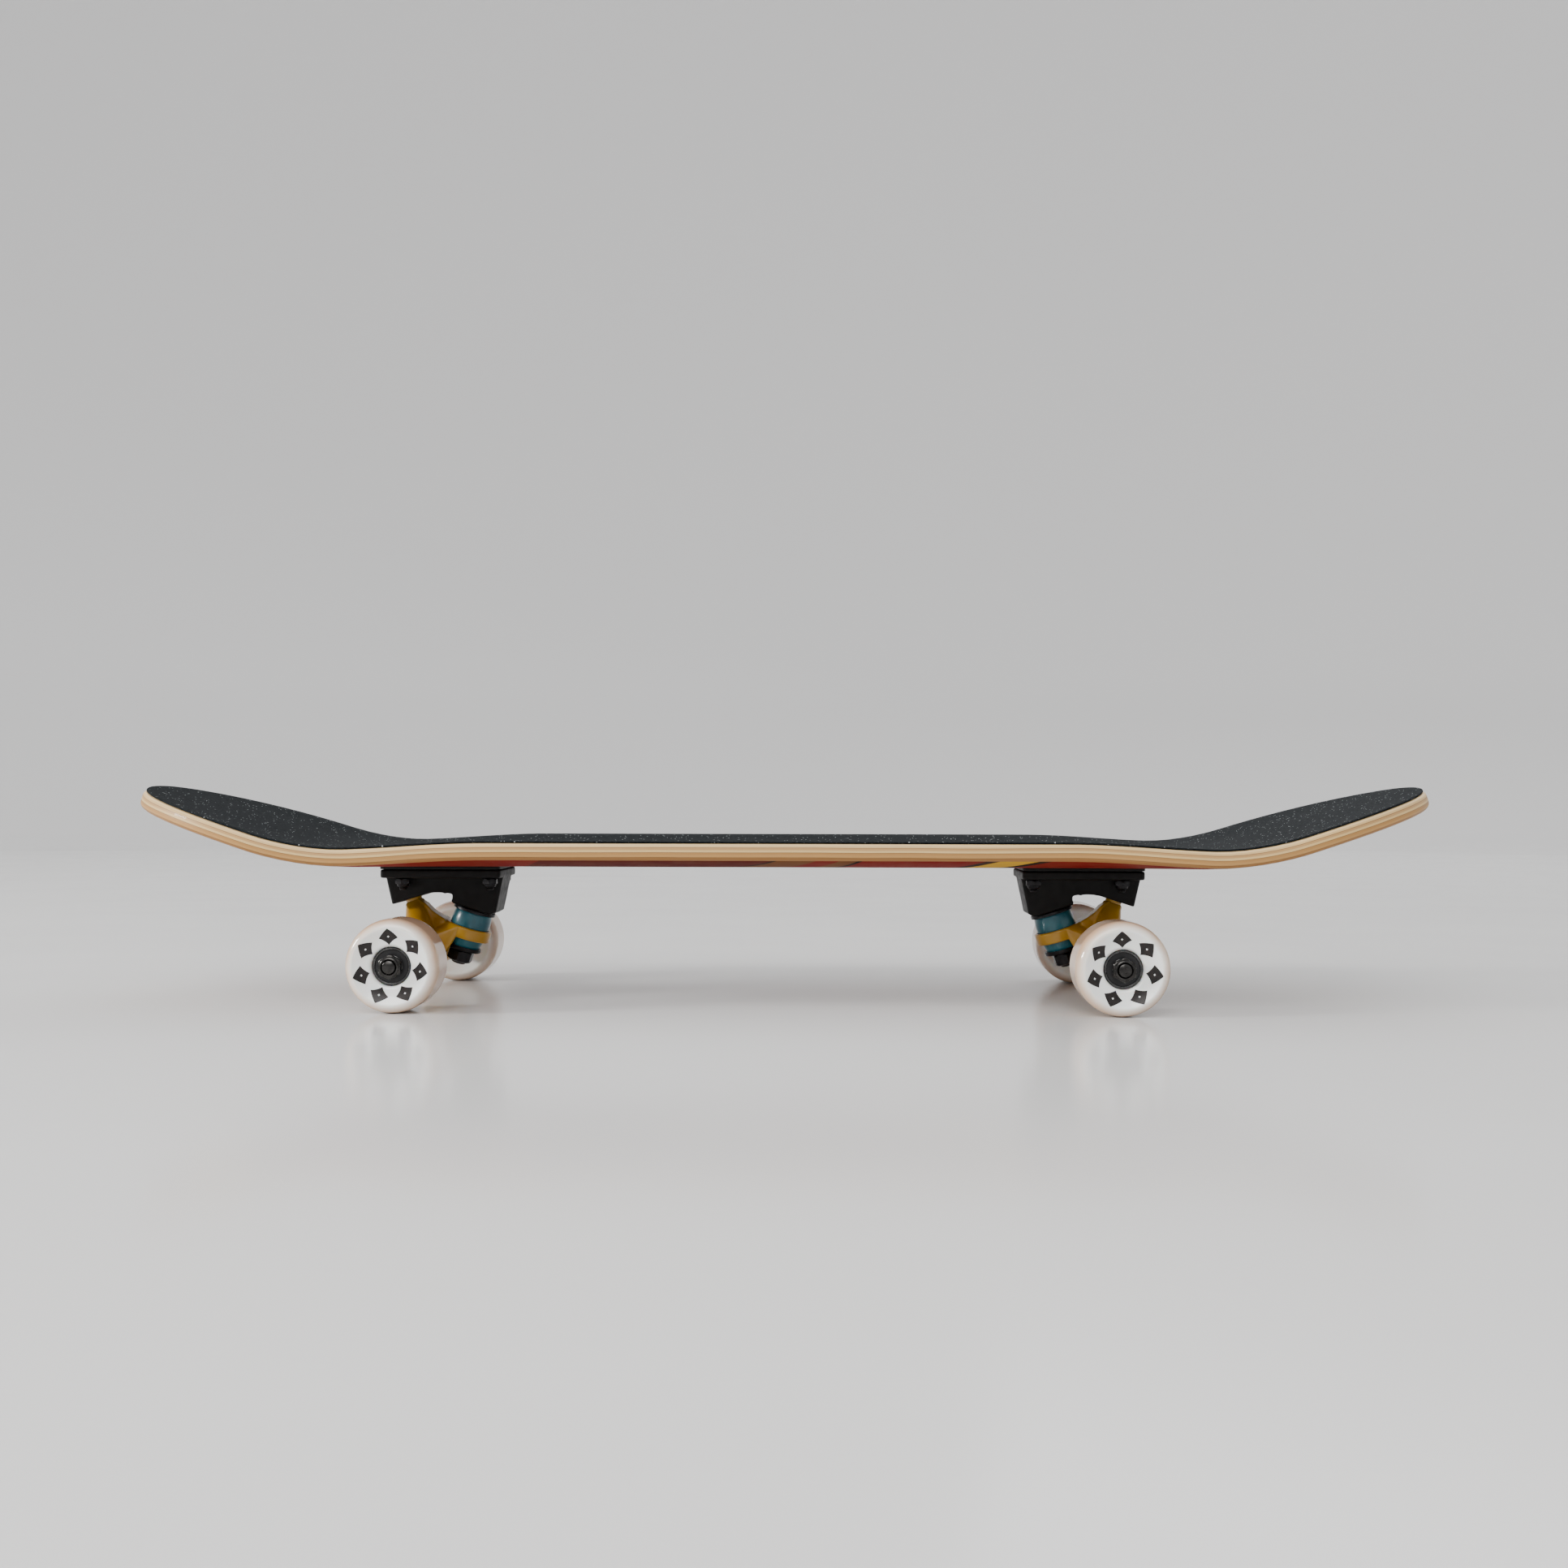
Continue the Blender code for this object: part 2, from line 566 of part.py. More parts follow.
def hanger_parts():
    """The solids that are joined into a hanger, from the middle of its axle: (name, mesh)."""
    arms = [
        (0, HANGER_HALF),
        (HANGER_END_RADIUS, HANGER_HALF),
        (HANGER_END_RADIUS, HANGER_HALF - ARM_END),
        (HANGER_MIDDLE_RADIUS, HANGER_SHOULDER),
        (HANGER_MIDDLE_RADIUS, -HANGER_SHOULDER),
        (HANGER_END_RADIUS, -HANGER_HALF + ARM_END),
        (HANGER_END_RADIUS, -HANGER_HALF),
        (0, -HANGER_HALF),
    ]
    arm_mesh = turned("hanger_arms", arms, 20)
    arm_mesh.transform(Matrix.Rotation(math.pi / 2, 4, "X"))

    def section(radius, across):
        """Points round the axle at a place across the truck."""
        return [
            (radius * math.cos(step * math.pi / 6), across, radius * math.sin(step * math.pi / 6))
            for step in range(12)
        ]

    post_root = []
    root_radius = PIVOT_BALL_RADIUS + POST_ROOT_WALL
    for depth in (PIVOT_POST - POST_ROOT_RISE, PIVOT_POST + POST_RUN_IN):
        for step in range(12):
            angle = step * math.pi / 6
            x, z = pivot_slope(-depth, root_radius * math.cos(angle))
            post_root.append((x, root_radius * math.sin(angle), z))
    ring_back = []
    for level in (-RING_HALF - YOKE_DROP, RING_HALF - YOKE_STEP_DOWN):
        for step in range(-4, 5):
            angle = math.pi + step * YOKE_STEP
            x, z = kingpin_slope(level, YOKE_RADIUS * math.cos(angle))
            ring_back.append((x, YOKE_RADIUS * math.sin(angle), z))
    narrow_back = [(x, y / 2, z) for x, y, z in ring_back]
    knee = [(SADDLE_X, y, SADDLE_Z) for y in (-PIVOT_BALL_RADIUS, PIVOT_BALL_RADIUS)]
    middle = HANGER_MIDDLE_RADIUS - WEB_INSET

    def core(half):
        """Points round the axle at both sides of the truck's middle."""
        return section(middle, half) + section(middle, -half)

    tower = hull_of("hanger_tower", post_root + core(HANGER_SHOULDER))
    saddle = hull_of("hanger_saddle", knee + narrow_back + core(YOKE_HALF / 2))
    yoke = hull_of("hanger_yoke", ring_back + core(YOKE_HALF))
    return arm_mesh, [("tower", tower), ("saddle", saddle), ("yoke", yoke)]


def post_mesh():
    """The hanger's post, turned about the pivot's axis, with the ball's centre at the origin."""
    radius = PIVOT_BALL_RADIUS
    profile = quarter_round(radius, 3)
    profile += [(radius, 0), (radius, -PIVOT_POST), (0, -PIVOT_POST - POST_RUN_IN)]
    return turned("hanger_post", profile, 16)


def build_truck(end, axle_x, heading, paints):
    """One truck. Its frame stands on the middle of the axle, with x towards the board's centre."""
    frame = add_empty(f"{end}_truck_frame", None, (axle_x, 0, WHEEL_RADIUS), (0, 0, heading))
    steer = add_empty(f"{end}_steering_point", frame, (RING_X, 0, RING_Z))
    kingpin_at = add_empty(f"{end}_kingpin_axis", frame, (RING_X, 0, RING_Z), (0, KINGPIN_TILT, 0))
    pivot_at = add_empty(f"{end}_pivot_axis", frame, (PIVOT_X, 0, PIVOT_Z), (0, PIVOT_TILT, 0))
    build_riser(end, frame, paints)
    build_baseplate(end, frame, kingpin_at, pivot_at, paints)
    build_pivot_cup(end, pivot_at, paints)
    build_kingpin_stack(end, kingpin_at, paints)
    build_hanger(end, frame, steer, kingpin_at, paints)
    for side, way in (("left", 1), ("right", -1)):
        side_of_truck = way if heading == 0 else -way
        build_wheel(f"{end}_{side}", steer, side_of_truck, paints)


def plate_holes(end, frame, level_bottom, level_top):
    """A cutter for the four bolt holes of one truck."""
    shape = bmesh.new()
    for along in (-1, 1):
        for side in (-1, 1):
            place = (PATTERN_X + along * BOLT_LENGTH_SPACING / 2, side * BOLT_WIDTH_SPACING / 2, 0)
            spin_into(shape, rod_profile(BOLT_RADIUS + FIT_GAP, level_bottom, level_top), 12, offset=place)
    name = f"{end}_plate_holes"
    return add_cutter(name, mesh_from(shape, name), frame)


def build_riser(end, frame, paints):
    bottom = TRUCK_HEIGHT + FIT_GAP
    mesh = rounded_plate(
        f"{end}_riser_pad",
        PLATE_LENGTH + 2 * RISER_MARGIN,
        PLATE_WIDTH + 2 * RISER_MARGIN,
        PLATE_CORNER + RISER_MARGIN,
        bottom,
        bottom + RISER_THICKNESS,
    )
    mesh.transform(Matrix.Translation((PLATE_X, 0, 0)))
    riser = add_object(f"{end}_riser_pad", mesh, paints["black plastic"], frame)
    holes = plate_holes(end, frame, TRUCK_HEIGHT - 2 * FLANGE_THICKNESS, bottom + 2 * RISER_THICKNESS)
    boolean(riser, holes)


def build_baseplate(end, frame, kingpin_at, pivot_at, paints):
    flange = rounded_plate(
        f"{end}_baseplate",
        PLATE_LENGTH,
        PLATE_WIDTH,
        PLATE_CORNER,
        TRUCK_HEIGHT - FLANGE_THICKNESS,
        TRUCK_HEIGHT,
        FLANGE_BEVEL,
    )
    flange.transform(Matrix.Translation((PLATE_X, 0, 0)))
    plate = add_object(f"{end}_baseplate", flange, paints["black paint"], frame)
    boolean(plate, add_cutter(f"{end}_baseplate_body", baseplate_body_mesh(), frame), "UNION")
    shaft = KINGPIN_RADIUS + FIT_GAP
    pocket = corner_radius(KINGPIN_HEAD_FLATS, 6) + FIT_GAP
    head_floor = head_base() - FIT_GAP
    through = [
        (0, head_floor + TRUCK_HEIGHT / 2),
        (pocket, head_floor + TRUCK_HEIGHT / 2),
        (pocket, head_floor),
        (shaft, head_floor),
        (shaft, 0),
        (0, 0),
    ]
    name = f"{end}_kingpin_hole"
    boolean(plate, add_cutter(name, turned(name, through, 20), kingpin_at))
    socket_radius = PIVOT_CUP_RADIUS + FIT_GAP
    socket = rod_profile(socket_radius, -2 * PIVOT_MOUTH, socket_radius)
    boolean(plate, add_cutter(f"{end}_pivot_socket", turned(f"{end}_pivot_socket", socket, 20), pivot_at))
    boolean(plate, bpy.data.objects[f"{end}_plate_holes"])


def build_pivot_cup(end, pivot_at, paints):
    """A cup that holds the ball: a round seat that opens out towards its mouth."""
    inner = PIVOT_BALL_RADIUS + BALL_CLEARANCE
    outer = PIVOT_CUP_RADIUS
    profile = [(0, outer), (outer, outer), (outer, -PIVOT_MOUTH), (inner + PIVOT_FLARE, -PIVOT_MOUTH)]
    profile += reversed(quarter_round(inner, 4))
    name = f"{end}_pivot_cup"
    add_object(name, turned(name, profile, 16), paints["black plastic"], pivot_at)


def bushing_profile(lower_radius, upper_radius, bottom, top, bulge):
    bore = KINGPIN_RADIUS + FIT_GAP
    middle = ((lower_radius + upper_radius) / 2 + bulge, (bottom + top) / 2)
    return [(upper_radius, top), middle, (lower_radius, bottom), (bore, bottom), (bore, top)]


def cup_washer(name, radius, lip_height, way):
    """A cup washer whose floor starts at z = 0. The lip stands on the side that way points to."""
    bore = KINGPIN_RADIUS + FIT_GAP
    floor = -way * WASHER_THICKNESS
    lip = way * lip_height
    inner = radius - WASHER_LIP
    profile = [(bore, 0), (bore, floor), (radius, floor), (radius, lip), (inner, lip), (inner, 0)]
    return turned(name, profile, 20)


def build_kingpin_stack(end, kingpin_at, paints):
    """The kingpin, its two bushings and cup washers and its nut, along the kingpin's axis from the ring."""
    seat = RING_HALF - SEAT_DEPTH + FIT_GAP
    upper_top = RING_HALF + UPPER_BUSHING
    lower_end = -RING_HALF - LOWER_BUSHING
    lower_cup_at = lower_end - FIT_GAP
    nut_at = lower_cup_at - WASHER_THICKNESS - FIT_GAP - KINGPIN_NUT_HEIGHT
    base = head_base()
    upper = bushing_profile(BUSHING_RADIUS, BUSHING_RADIUS - BUSHING_TAPER, seat, upper_top, BUSHING_BULGE)
    lower = bushing_profile(LOWER_BUSHING_END, LOWER_BUSHING_TOP, lower_end, -seat, 0.0)
    for place, profile in (("upper", upper), ("lower", lower)):
        name = f"{end}_{place}_bushing"
        add_object(name, turned(name, profile, 20), paints["urethane"], kingpin_at)
    for place, radius, lip, way, at in (
        ("upper", BUSHING_RADIUS + WASHER_LIP, UPPER_LIP_HEIGHT, -1, upper_top + FIT_GAP),
        ("lower", LOWER_CUP_RADIUS, LOWER_LIP_HEIGHT, 1, lower_cup_at),
    ):
        name = f"{end}_{place}_cup_washer"
        add_object(name, cup_washer(name, radius, lip, way), paints["black steel"], kingpin_at, (0, 0, at))
    name = f"{end}_kingpin_nut"
    bore = KINGPIN_RADIUS + FIT_GAP
    nut = hex_nut(name, KINGPIN_HEAD_FLATS, bore, KINGPIN_NUT_HEIGHT, KINGPIN_NUT_CHAMFER)
    add_object(name, nut, paints["black steel"], kingpin_at, (0, 0, nut_at))
    name = f"{end}_kingpin"
    shaft = rod_profile(KINGPIN_RADIUS, nut_at - KINGPIN_END, base + KINGPIN_HEAD_HEIGHT / 2)
    kingpin = add_object(name, turned(name, shaft, 16), paints["black steel"], kingpin_at)
    head = rod_profile(corner_radius(KINGPIN_HEAD_FLATS, 6), base, base + KINGPIN_HEAD_HEIGHT)
    boolean(kingpin, add_cutter(f"{name}_head", turned(f"{name}_head", head, 6), kingpin_at), "UNION")


def build_hanger(end, frame, steer, kingpin_at, paints):
    """The cast hanger with its ring, post and arms, and the axle through it."""
    shift = Matrix.Translation((-RING_X, 0, -RING_Z))
    arms, solids = hanger_parts()
    arms.name = f"{end}_hanger"
    arms.transform(shift)
    hanger = add_object(f"{end}_hanger", arms, paints["mustard paint"], steer)
    for name, mesh in solids:
        boolean(hanger, add_cutter(f"{end}_hanger_{name}", mesh, frame), "UNION")
    pivot_at = bpy.data.objects[f"{end}_pivot_axis"]
    boolean(hanger, add_cutter(f"{end}_hanger_post", post_mesh(), pivot_at), "UNION")
    ring = turned(f"{end}_hanger_ring", rod_profile(RING_RADIUS, -RING_HALF, RING_HALF), 24)
    boolean(hanger, add_cutter(f"{end}_hanger_ring", ring, kingpin_at), "UNION")
    swing = LOWER_CUP_RADIUS + WASHER_SWING
    washer_level = -RING_HALF - LOWER_BUSHING - WASHER_THICKNESS - 4 * FIT_GAP
    nut_swing = corner_radius(KINGPIN_HEAD_FLATS, 6) + NUT_SWING
    clear = [
        (0, RING_HALF + UPPER_BUSHING),
        (UPPER_SEAT, RING_HALF + UPPER_BUSHING),
        (UPPER_SEAT, RING_HALF - SEAT_DEPTH),
        (RING_BORE, RING_HALF - SEAT_DEPTH),
        (RING_BORE, -RING_HALF + SEAT_DEPTH),
        (LOWER_SEAT, -RING_HALF + SEAT_DEPTH),
        (LOWER_SEAT, -RING_HALF),
        (swing, -RING_HALF),
        (swing, washer_level),
        (nut_swing, washer_level - WASHER_PASS),
        (nut_swing, -3 * KINGPIN_NUT_HEIGHT),
        (0, -3 * KINGPIN_NUT_HEIGHT),
    ]
    clearance = turned(f"{end}_hanger_clearance", clear, 24)
    boolean(hanger, add_cutter(f"{end}_hanger_clearance", clearance, kingpin_at))
    across = (math.pi / 2, 0, 0)
    bore = turned(f"{end}_axle_bore", rod_profile(AXLE_RADIUS + FIT_GAP, -AXLE_HALF, AXLE_HALF), 16)
    boolean(hanger, add_cutter(f"{end}_axle_bore", bore, frame, (0, 0, 0), across))
    axle = turned(f"{end}_axle", rod_profile(AXLE_RADIUS, -AXLE_HALF, AXLE_HALF), 16)
    add_object(f"{end}_axle", axle, paints["dark chrome"], steer, (-RING_X, 0, -RING_Z), across)


# ---------------------------------------------------------------- wheels


def wheel_profile():
    """Half of the section, (radius, distance from the wheel's middle), from the tread in to the core."""
    scale = 1 / math.cos(math.pi / WHEEL_SIDES)
    shoulder = WHEEL_HALF - TREAD_HALF
    points = []
    for step in range(4):
        angle = step * math.pi / 6
        radius = WHEEL_RADIUS - shoulder * (1 - math.cos(angle))
        points.append((radius * scale, TREAD_HALF + shoulder * math.sin(angle)))
    seat = BEARING_RADIUS + FIT_GAP
    points.append((seat + SEAT_CHAMFER, WHEEL_HALF - WHEEL_DISH))
    points.append((seat, WHEEL_HALF - WHEEL_DISH))
    points.append((seat, BEARING_INNER - FIT_GAP))
    points.append((CORE_RADIUS, BEARING_INNER - FIT_GAP))
    return points


def build_wheel(name, steer, side, paints):
    """A wheel with two bearings, a spacer between them and a nut outside, on one end of an axle."""
    half = wheel_profile()
    profile = half + [(radius, -across) for radius, across in reversed(half)]
    mesh = turned(f"{name}_wheel", profile, WHEEL_SIDES)
    mesh.transform(Matrix.Rotation(math.pi / WHEEL_SIDES, 4, "Z"))
    place = (-RING_X, side * WHEEL_CENTRE, -RING_Z)
    outwards = (-side * math.pi / 2, 0, 0)
    hub = add_empty(f"{name}_hub", steer, place, outwards)
    add_object(f"{name}_wheel", mesh, paints["white urethane"], hub)
    bore = AXLE_RADIUS + FIT_GAP
    bearing = [
        (BEARING_RADIUS, -BEARING_WIDTH / 2),
        (bore, -BEARING_WIDTH / 2),
        (bore, BEARING_WIDTH / 2),
        (bore + INNER_RACE, BEARING_WIDTH / 2),
        (BEARING_RADIUS - OUTER_RACE, BEARING_WIDTH / 2 - SHIELD_DEPTH),
        (BEARING_RADIUS, BEARING_WIDTH / 2),
    ]
    bearing_mesh = turned(f"{name}_bearing", bearing, 20)
    middle = (BEARING_OUTER + BEARING_INNER) / 2
    steel = paints["bearing steel"]
    add_object(f"{name}_outer_bearing", bearing_mesh, steel, hub, (0, 0, middle))
    add_object(f"{name}_inner_bearing", bearing_mesh, steel, hub, (0, 0, -middle), (math.pi, 0, 0))
    half_spacer = BEARING_INNER - FIT_GAP
    spacer = turned(f"{name}_spacer", ring_profile(bore + SPACER_WALL, bore, -half_spacer, half_spacer), 12)
    add_object(f"{name}_spacer", spacer, paints["bearing steel"], hub)
    nut = hex_nut(f"{name}_axle_nut", AXLE_NUT_FLATS, bore, AXLE_NUT_HEIGHT, AXLE_NUT_CHAMFER)
    add_object(f"{name}_axle_nut", nut, paints["dark chrome"], hub, (0, 0, AXLE_NUT_FACE))


# ---------------------------------------------------------------- whole board


def main():
    clear_scene()
    paints = {
        "black plastic": finish("black_plastic", (0.016, 0.016, 0.017), 0.55),
        "black paint": finish("black_paint", (0.010, 0.010, 0.011), 0.35),
        "black steel": finish("black_steel", (0.018, 0.018, 0.020), 0.40, 0.7),
        "dark chrome": finish("dark_chrome", (0.09, 0.09, 0.095), 0.25, 1.0),
        "bearing steel": finish("bearing_steel", (0.23, 0.23, 0.24), 0.30, 1.0),
        "urethane": finish("teal_urethane", (0.02, 0.16, 0.22), 0.35),
        "mustard paint": finish("mustard_paint", (0.56, 0.31, 0.01), 0.35),
        "white urethane": finish("white_urethane", (0.80, 0.79, 0.76), 0.18),
    }
    build_deck(finish("maple", (0.58, 0.40, 0.24), 0.35), finish("grit", (0.022, 0.026, 0.030), 0.9))
    build_bolts(paints["black steel"], paints["black steel"])
    build_truck("nose", NOSE_AXLE_X, math.pi, paints)
    build_truck("tail", TAIL_AXLE_X, 0.0, paints)


main()
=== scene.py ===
import math

import bmesh
import bpy
from mathutils import Matrix, Vector


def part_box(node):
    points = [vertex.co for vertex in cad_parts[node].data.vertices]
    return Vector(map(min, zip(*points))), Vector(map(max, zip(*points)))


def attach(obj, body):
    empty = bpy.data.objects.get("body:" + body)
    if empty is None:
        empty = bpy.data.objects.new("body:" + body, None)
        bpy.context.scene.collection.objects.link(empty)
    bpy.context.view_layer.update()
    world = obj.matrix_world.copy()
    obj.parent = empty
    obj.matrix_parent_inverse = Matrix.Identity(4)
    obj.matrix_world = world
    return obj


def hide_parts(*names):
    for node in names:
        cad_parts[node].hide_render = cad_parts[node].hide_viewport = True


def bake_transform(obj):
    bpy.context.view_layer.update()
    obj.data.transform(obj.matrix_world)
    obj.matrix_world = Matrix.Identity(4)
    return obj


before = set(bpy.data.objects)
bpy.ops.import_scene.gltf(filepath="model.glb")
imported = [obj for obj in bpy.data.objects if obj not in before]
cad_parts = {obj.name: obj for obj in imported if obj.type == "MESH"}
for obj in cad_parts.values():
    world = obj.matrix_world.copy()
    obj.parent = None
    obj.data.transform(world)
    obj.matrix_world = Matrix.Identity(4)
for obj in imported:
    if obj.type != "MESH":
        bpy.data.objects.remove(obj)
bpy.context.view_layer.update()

# ---------------------------------------------------------------- studio and camera
# A wide bowl of pale grey, semi-gloss board that curves up into its own backdrop on every side, with one
# low softbox on the left, a broad one in front, a weak one behind, and an even sky over the bowl's rim.

FLOOR_RADIUS = 3.2
BOWL_RADIUS = 6.5
BOWL_HEIGHT = 5.0
BOWL_STEPS = 24
FLOOR_GREY = (0.66, 0.655, 0.65)
SOFTBOX_AIM = Vector((0.0, 0.0, 0.05))
SKY_STRENGTH = 1.28


def node(material, kind, *values, **settings):
    """Adds a node. Values fill its inputs in order, and capitalised settings by name. A socket is linked."""
    tree = material.node_tree
    made = tree.nodes.new(kind)
    filled = list(enumerate(values))
    for key, value in settings.items():
        if key[0].islower():
            setattr(made, key, value)
        else:
            filled.append((key.replace("_", " "), value))
    for place, value in filled:
        if isinstance(value, bpy.types.NodeSocket):
            tree.links.new(value, made.inputs[place])
        elif value is not None:
            made.inputs[place].default_value = value
    return made.outputs[0]


def finish(name, colour, roughness, metallic=0.0, **sockets):
    """A new material whose shader has these values on its own sockets."""
    material = bpy.data.materials.new(name)
    material.use_nodes = True
    shader = material.node_tree.nodes["Principled BSDF"]
    shader.inputs["Base Color"].default_value = (*colour, 1)
    shader.inputs["Roughness"].default_value = roughness
    shader.inputs["Metallic"].default_value = metallic
    for key, value in sockets.items():
        shader.inputs[key.replace("_", " ")].default_value = value
    return material, shader


def join(material, output, shader, name):
    material.node_tree.links.new(output, shader.inputs[name])


def local_place(material):
    """The point of the surface in the board's own frame, in metres."""
    return node(material, "ShaderNodeTexCoord").node.outputs["Object"]


def speckle(material, scale, detail=2.0):
    """Soft noise with about scale spots to the metre."""
    return node(material, "ShaderNodeTexNoise", Vector=local_place(material), Scale=scale, Detail=detail)


def spread(material, value, low, high):
    """Stretches a noise's middle range to low..high."""
    return node(material, "ShaderNodeMapRange", value, 0.3, 0.7, low, high)


def sheen(material, shader, scale, low, high):
    """Roughness that drifts from low to high."""
    join(material, spread(material, speckle(material, scale), low, high), shader, "Roughness")


def to_mesh(name, shape):
    mesh = bpy.data.meshes.new(name)
    shape.to_mesh(mesh)
    shape.free()
    return mesh


def stitch(shape, lower, upper):
    """A band of faces between two rings of as many points each."""
    for step in range(len(lower)):
        after = (step + 1) % len(lower)
        shape.faces.new((lower[step], lower[after], upper[after], upper[step]))


def lathe(name, rings, steps=64, bored=False):
    """A mesh from rings stacked along z. A ring is (radius, height), and its radius may depend on the angle.
    The two end rings are capped, or joined to each other where the piece has a bore."""
    shape = bmesh.new()
    loops = []
    for radius, height in rings:
        loop = []
        for step in range(steps):
            angle = 2 * math.pi * step / steps
            reach = radius(angle) if callable(radius) else radius
            loop.append(shape.verts.new((reach * math.cos(angle), reach * math.sin(angle), height)))
        loops.append(loop)
    pairs = list(zip(loops, loops[1:]))
    if bored:
        pairs.append((loops[-1], loops[0]))
    for lower, upper in pairs:
        stitch(shape, lower, upper)
    if not bored:
        shape.faces.new(loops[0][::-1])
        shape.faces.new(loops[-1])
    bmesh.ops.recalc_face_normals(shape, faces=shape.faces)
    return to_mesh(name, shape)


def show(name, mesh, material, crease=35):
    """Puts a mesh in the scene, smooth except over edges sharper than the crease angle."""
    if not mesh.materials:
        for each in material if isinstance(material, (list, tuple)) else [material]:
            mesh.materials.append(each)
    mesh.shade_smooth()
    mesh.set_sharp_from_angle(angle=math.radians(crease))
    made = bpy.data.objects.new(name, mesh)
    bpy.context.scene.collection.objects.link(made)
    return made


studio_paper, shader = finish("studio_paper", FLOOR_GREY, 0.16, Specular_IOR_Level=0.22)
sheen(studio_paper, shader, 3.0, 0.13, 0.20)
bowl_rings = [(radius, 0.0) for radius in (0.02, 0.5, 1.0, 2.0, FLOOR_RADIUS)]
for step in range(1, BOWL_STEPS + 1):
    angle = step * math.pi / 2 / BOWL_STEPS
    reach = FLOOR_RADIUS + (BOWL_RADIUS - FLOOR_RADIUS) * math.sin(angle)
    bowl_rings.append((reach, BOWL_HEIGHT * (1 - math.cos(angle))))
bowl = lathe("studio_bowl", bowl_rings, 96)
shape = bmesh.new()
shape.from_mesh(bowl)
lid = max(shape.faces, key=lambda face: face.calc_center_median().z * (len(face.verts) > 4))
bmesh.ops.delete(shape, geom=[lid], context="FACES_ONLY")
bmesh.ops.reverse_faces(shape, faces=shape.faces)
shape.to_mesh(bowl)
shape.free()
show("studio_bowl", bowl, studio_paper)

for name, place, size, power, colour in (
    ("low_softbox", (-2.9, -0.75, 1.05), 0.55, 90, (1.0, 0.985, 0.96)),
    ("front_softbox", (-0.7, -2.4, 2.1), 2.2, 78, (1.0, 0.985, 0.97)),
    ("back_softbox", (1.2, 2.4, 2.4), 2.2, 30, (0.97, 0.985, 1.0)),
):
    lamp = bpy.data.lights.new(name, "AREA")
    lamp.shape = "SQUARE"
    lamp.size = size
    lamp.energy = power
    lamp.color = colour
    holder = bpy.data.objects.new(name, lamp)
    holder.location = place
    holder.rotation_euler = (SOFTBOX_AIM - Vector(place)).to_track_quat("-Z", "Y").to_euler()
    holder.visible_camera = False
    bpy.context.scene.collection.objects.link(holder)

sky = bpy.data.worlds.new("studio_sky")
sky.use_nodes = True
sky.node_tree.nodes["Background"].inputs["Color"].default_value = (0.98, 0.985, 1.0, 1)
sky.node_tree.nodes["Background"].inputs["Strength"].default_value = SKY_STRENGTH
bpy.context.scene.world = sky

CAMERA_PLACE = (0.0270, -1.0001, 0.1226)
CAMERA_PAN = math.radians(1.413)
CAMERA_RISE = math.radians(0.548)
CAMERA_ROLL = math.radians(0.104)
lens = bpy.data.cameras.new("camera")
lens.lens = 36.68
lens.sensor_width = 36.0
camera = bpy.data.objects.new("camera", lens)
turn = Matrix.Rotation(CAMERA_PAN, 4, "Z") @ Matrix.Rotation(math.pi / 2 + CAMERA_RISE, 4, "X")
camera.matrix_world = Matrix.Translation(CAMERA_PLACE) @ turn @ Matrix.Rotation(CAMERA_ROLL, 4, "Z")
bpy.context.scene.collection.objects.link(camera)
bpy.context.scene.camera = camera

# ---------------------------------------------------------------- deck
# Seven sheets of hard maple, glued and pressed in one mould, then sawn to outline, rounded over along the
# edge and lacquered. The upper sheet stays bare under the tape, and the belly is painted.


def box_of(node_name):
    low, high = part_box(node_name)
    return Vector(low), Vector(high)


deck_low, deck_high = box_of("deck")
DECK_LENGTH = deck_high.x - deck_low.x
DECK_WIDTH = deck_high.y - deck_low.y
PLIES = 7
PLY_STACK = 0.0097
DECK_TOP = 0.0913  # upper face along the middle, between the trucks
RAIL_ROUND = 0.0030
RAIL_STEPS = 4
TIP_LENGTH = 0.109
TIP_FULLNESS = 2.13
FLAT_HALF = 0.030
CONCAVE = 0.0067
KICK_CONCAVE = 0.0023
CONCAVE_FULL = 0.165
CONCAVE_SHALLOW = 0.262
KICK_ANGLE = math.radians(18.0)
KICK_RADIUS = 0.185
NOSE_KICK = 0.2430
TAIL_KICK = 0.2440
TIP_STEPS = 36
SIDE_STEPS = 34
ACROSS_STEPS = 26


def kick_point(distance, start):
    """Run, rise and slope of the board's middle line, at a distance along it from the board's centre."""
    past = max(0.0, distance - start)
    turn = min(past / KICK_RADIUS, KICK_ANGLE)
    straight = max(0.0, past - KICK_RADIUS * KICK_ANGLE)
    run = min(distance, start) + KICK_RADIUS * math.sin(turn) + straight * math.cos(turn)
    rise = KICK_RADIUS * (1 - math.cos(turn)) + straight * math.sin(turn)
    return run, rise, turn


def tip_distance(start):
    """Distance along the middle line to the upper edge of a tip."""
    overhang = (PLY_STACK - RAIL_ROUND) * math.sin(KICK_ANGLE) + RAIL_ROUND * (1 - math.cos(KICK_ANGLE))
    bend = start + KICK_RADIUS * KICK_ANGLE
    arc_run, _, _ = kick_point(bend, start)
    return bend + (DECK_LENGTH / 2 - overhang - arc_run) / math.cos(KICK_ANGLE)


def smooth_step(value):
    value = min(1.0, max(0.0, value))
    return value * value * (3 - 2 * value)


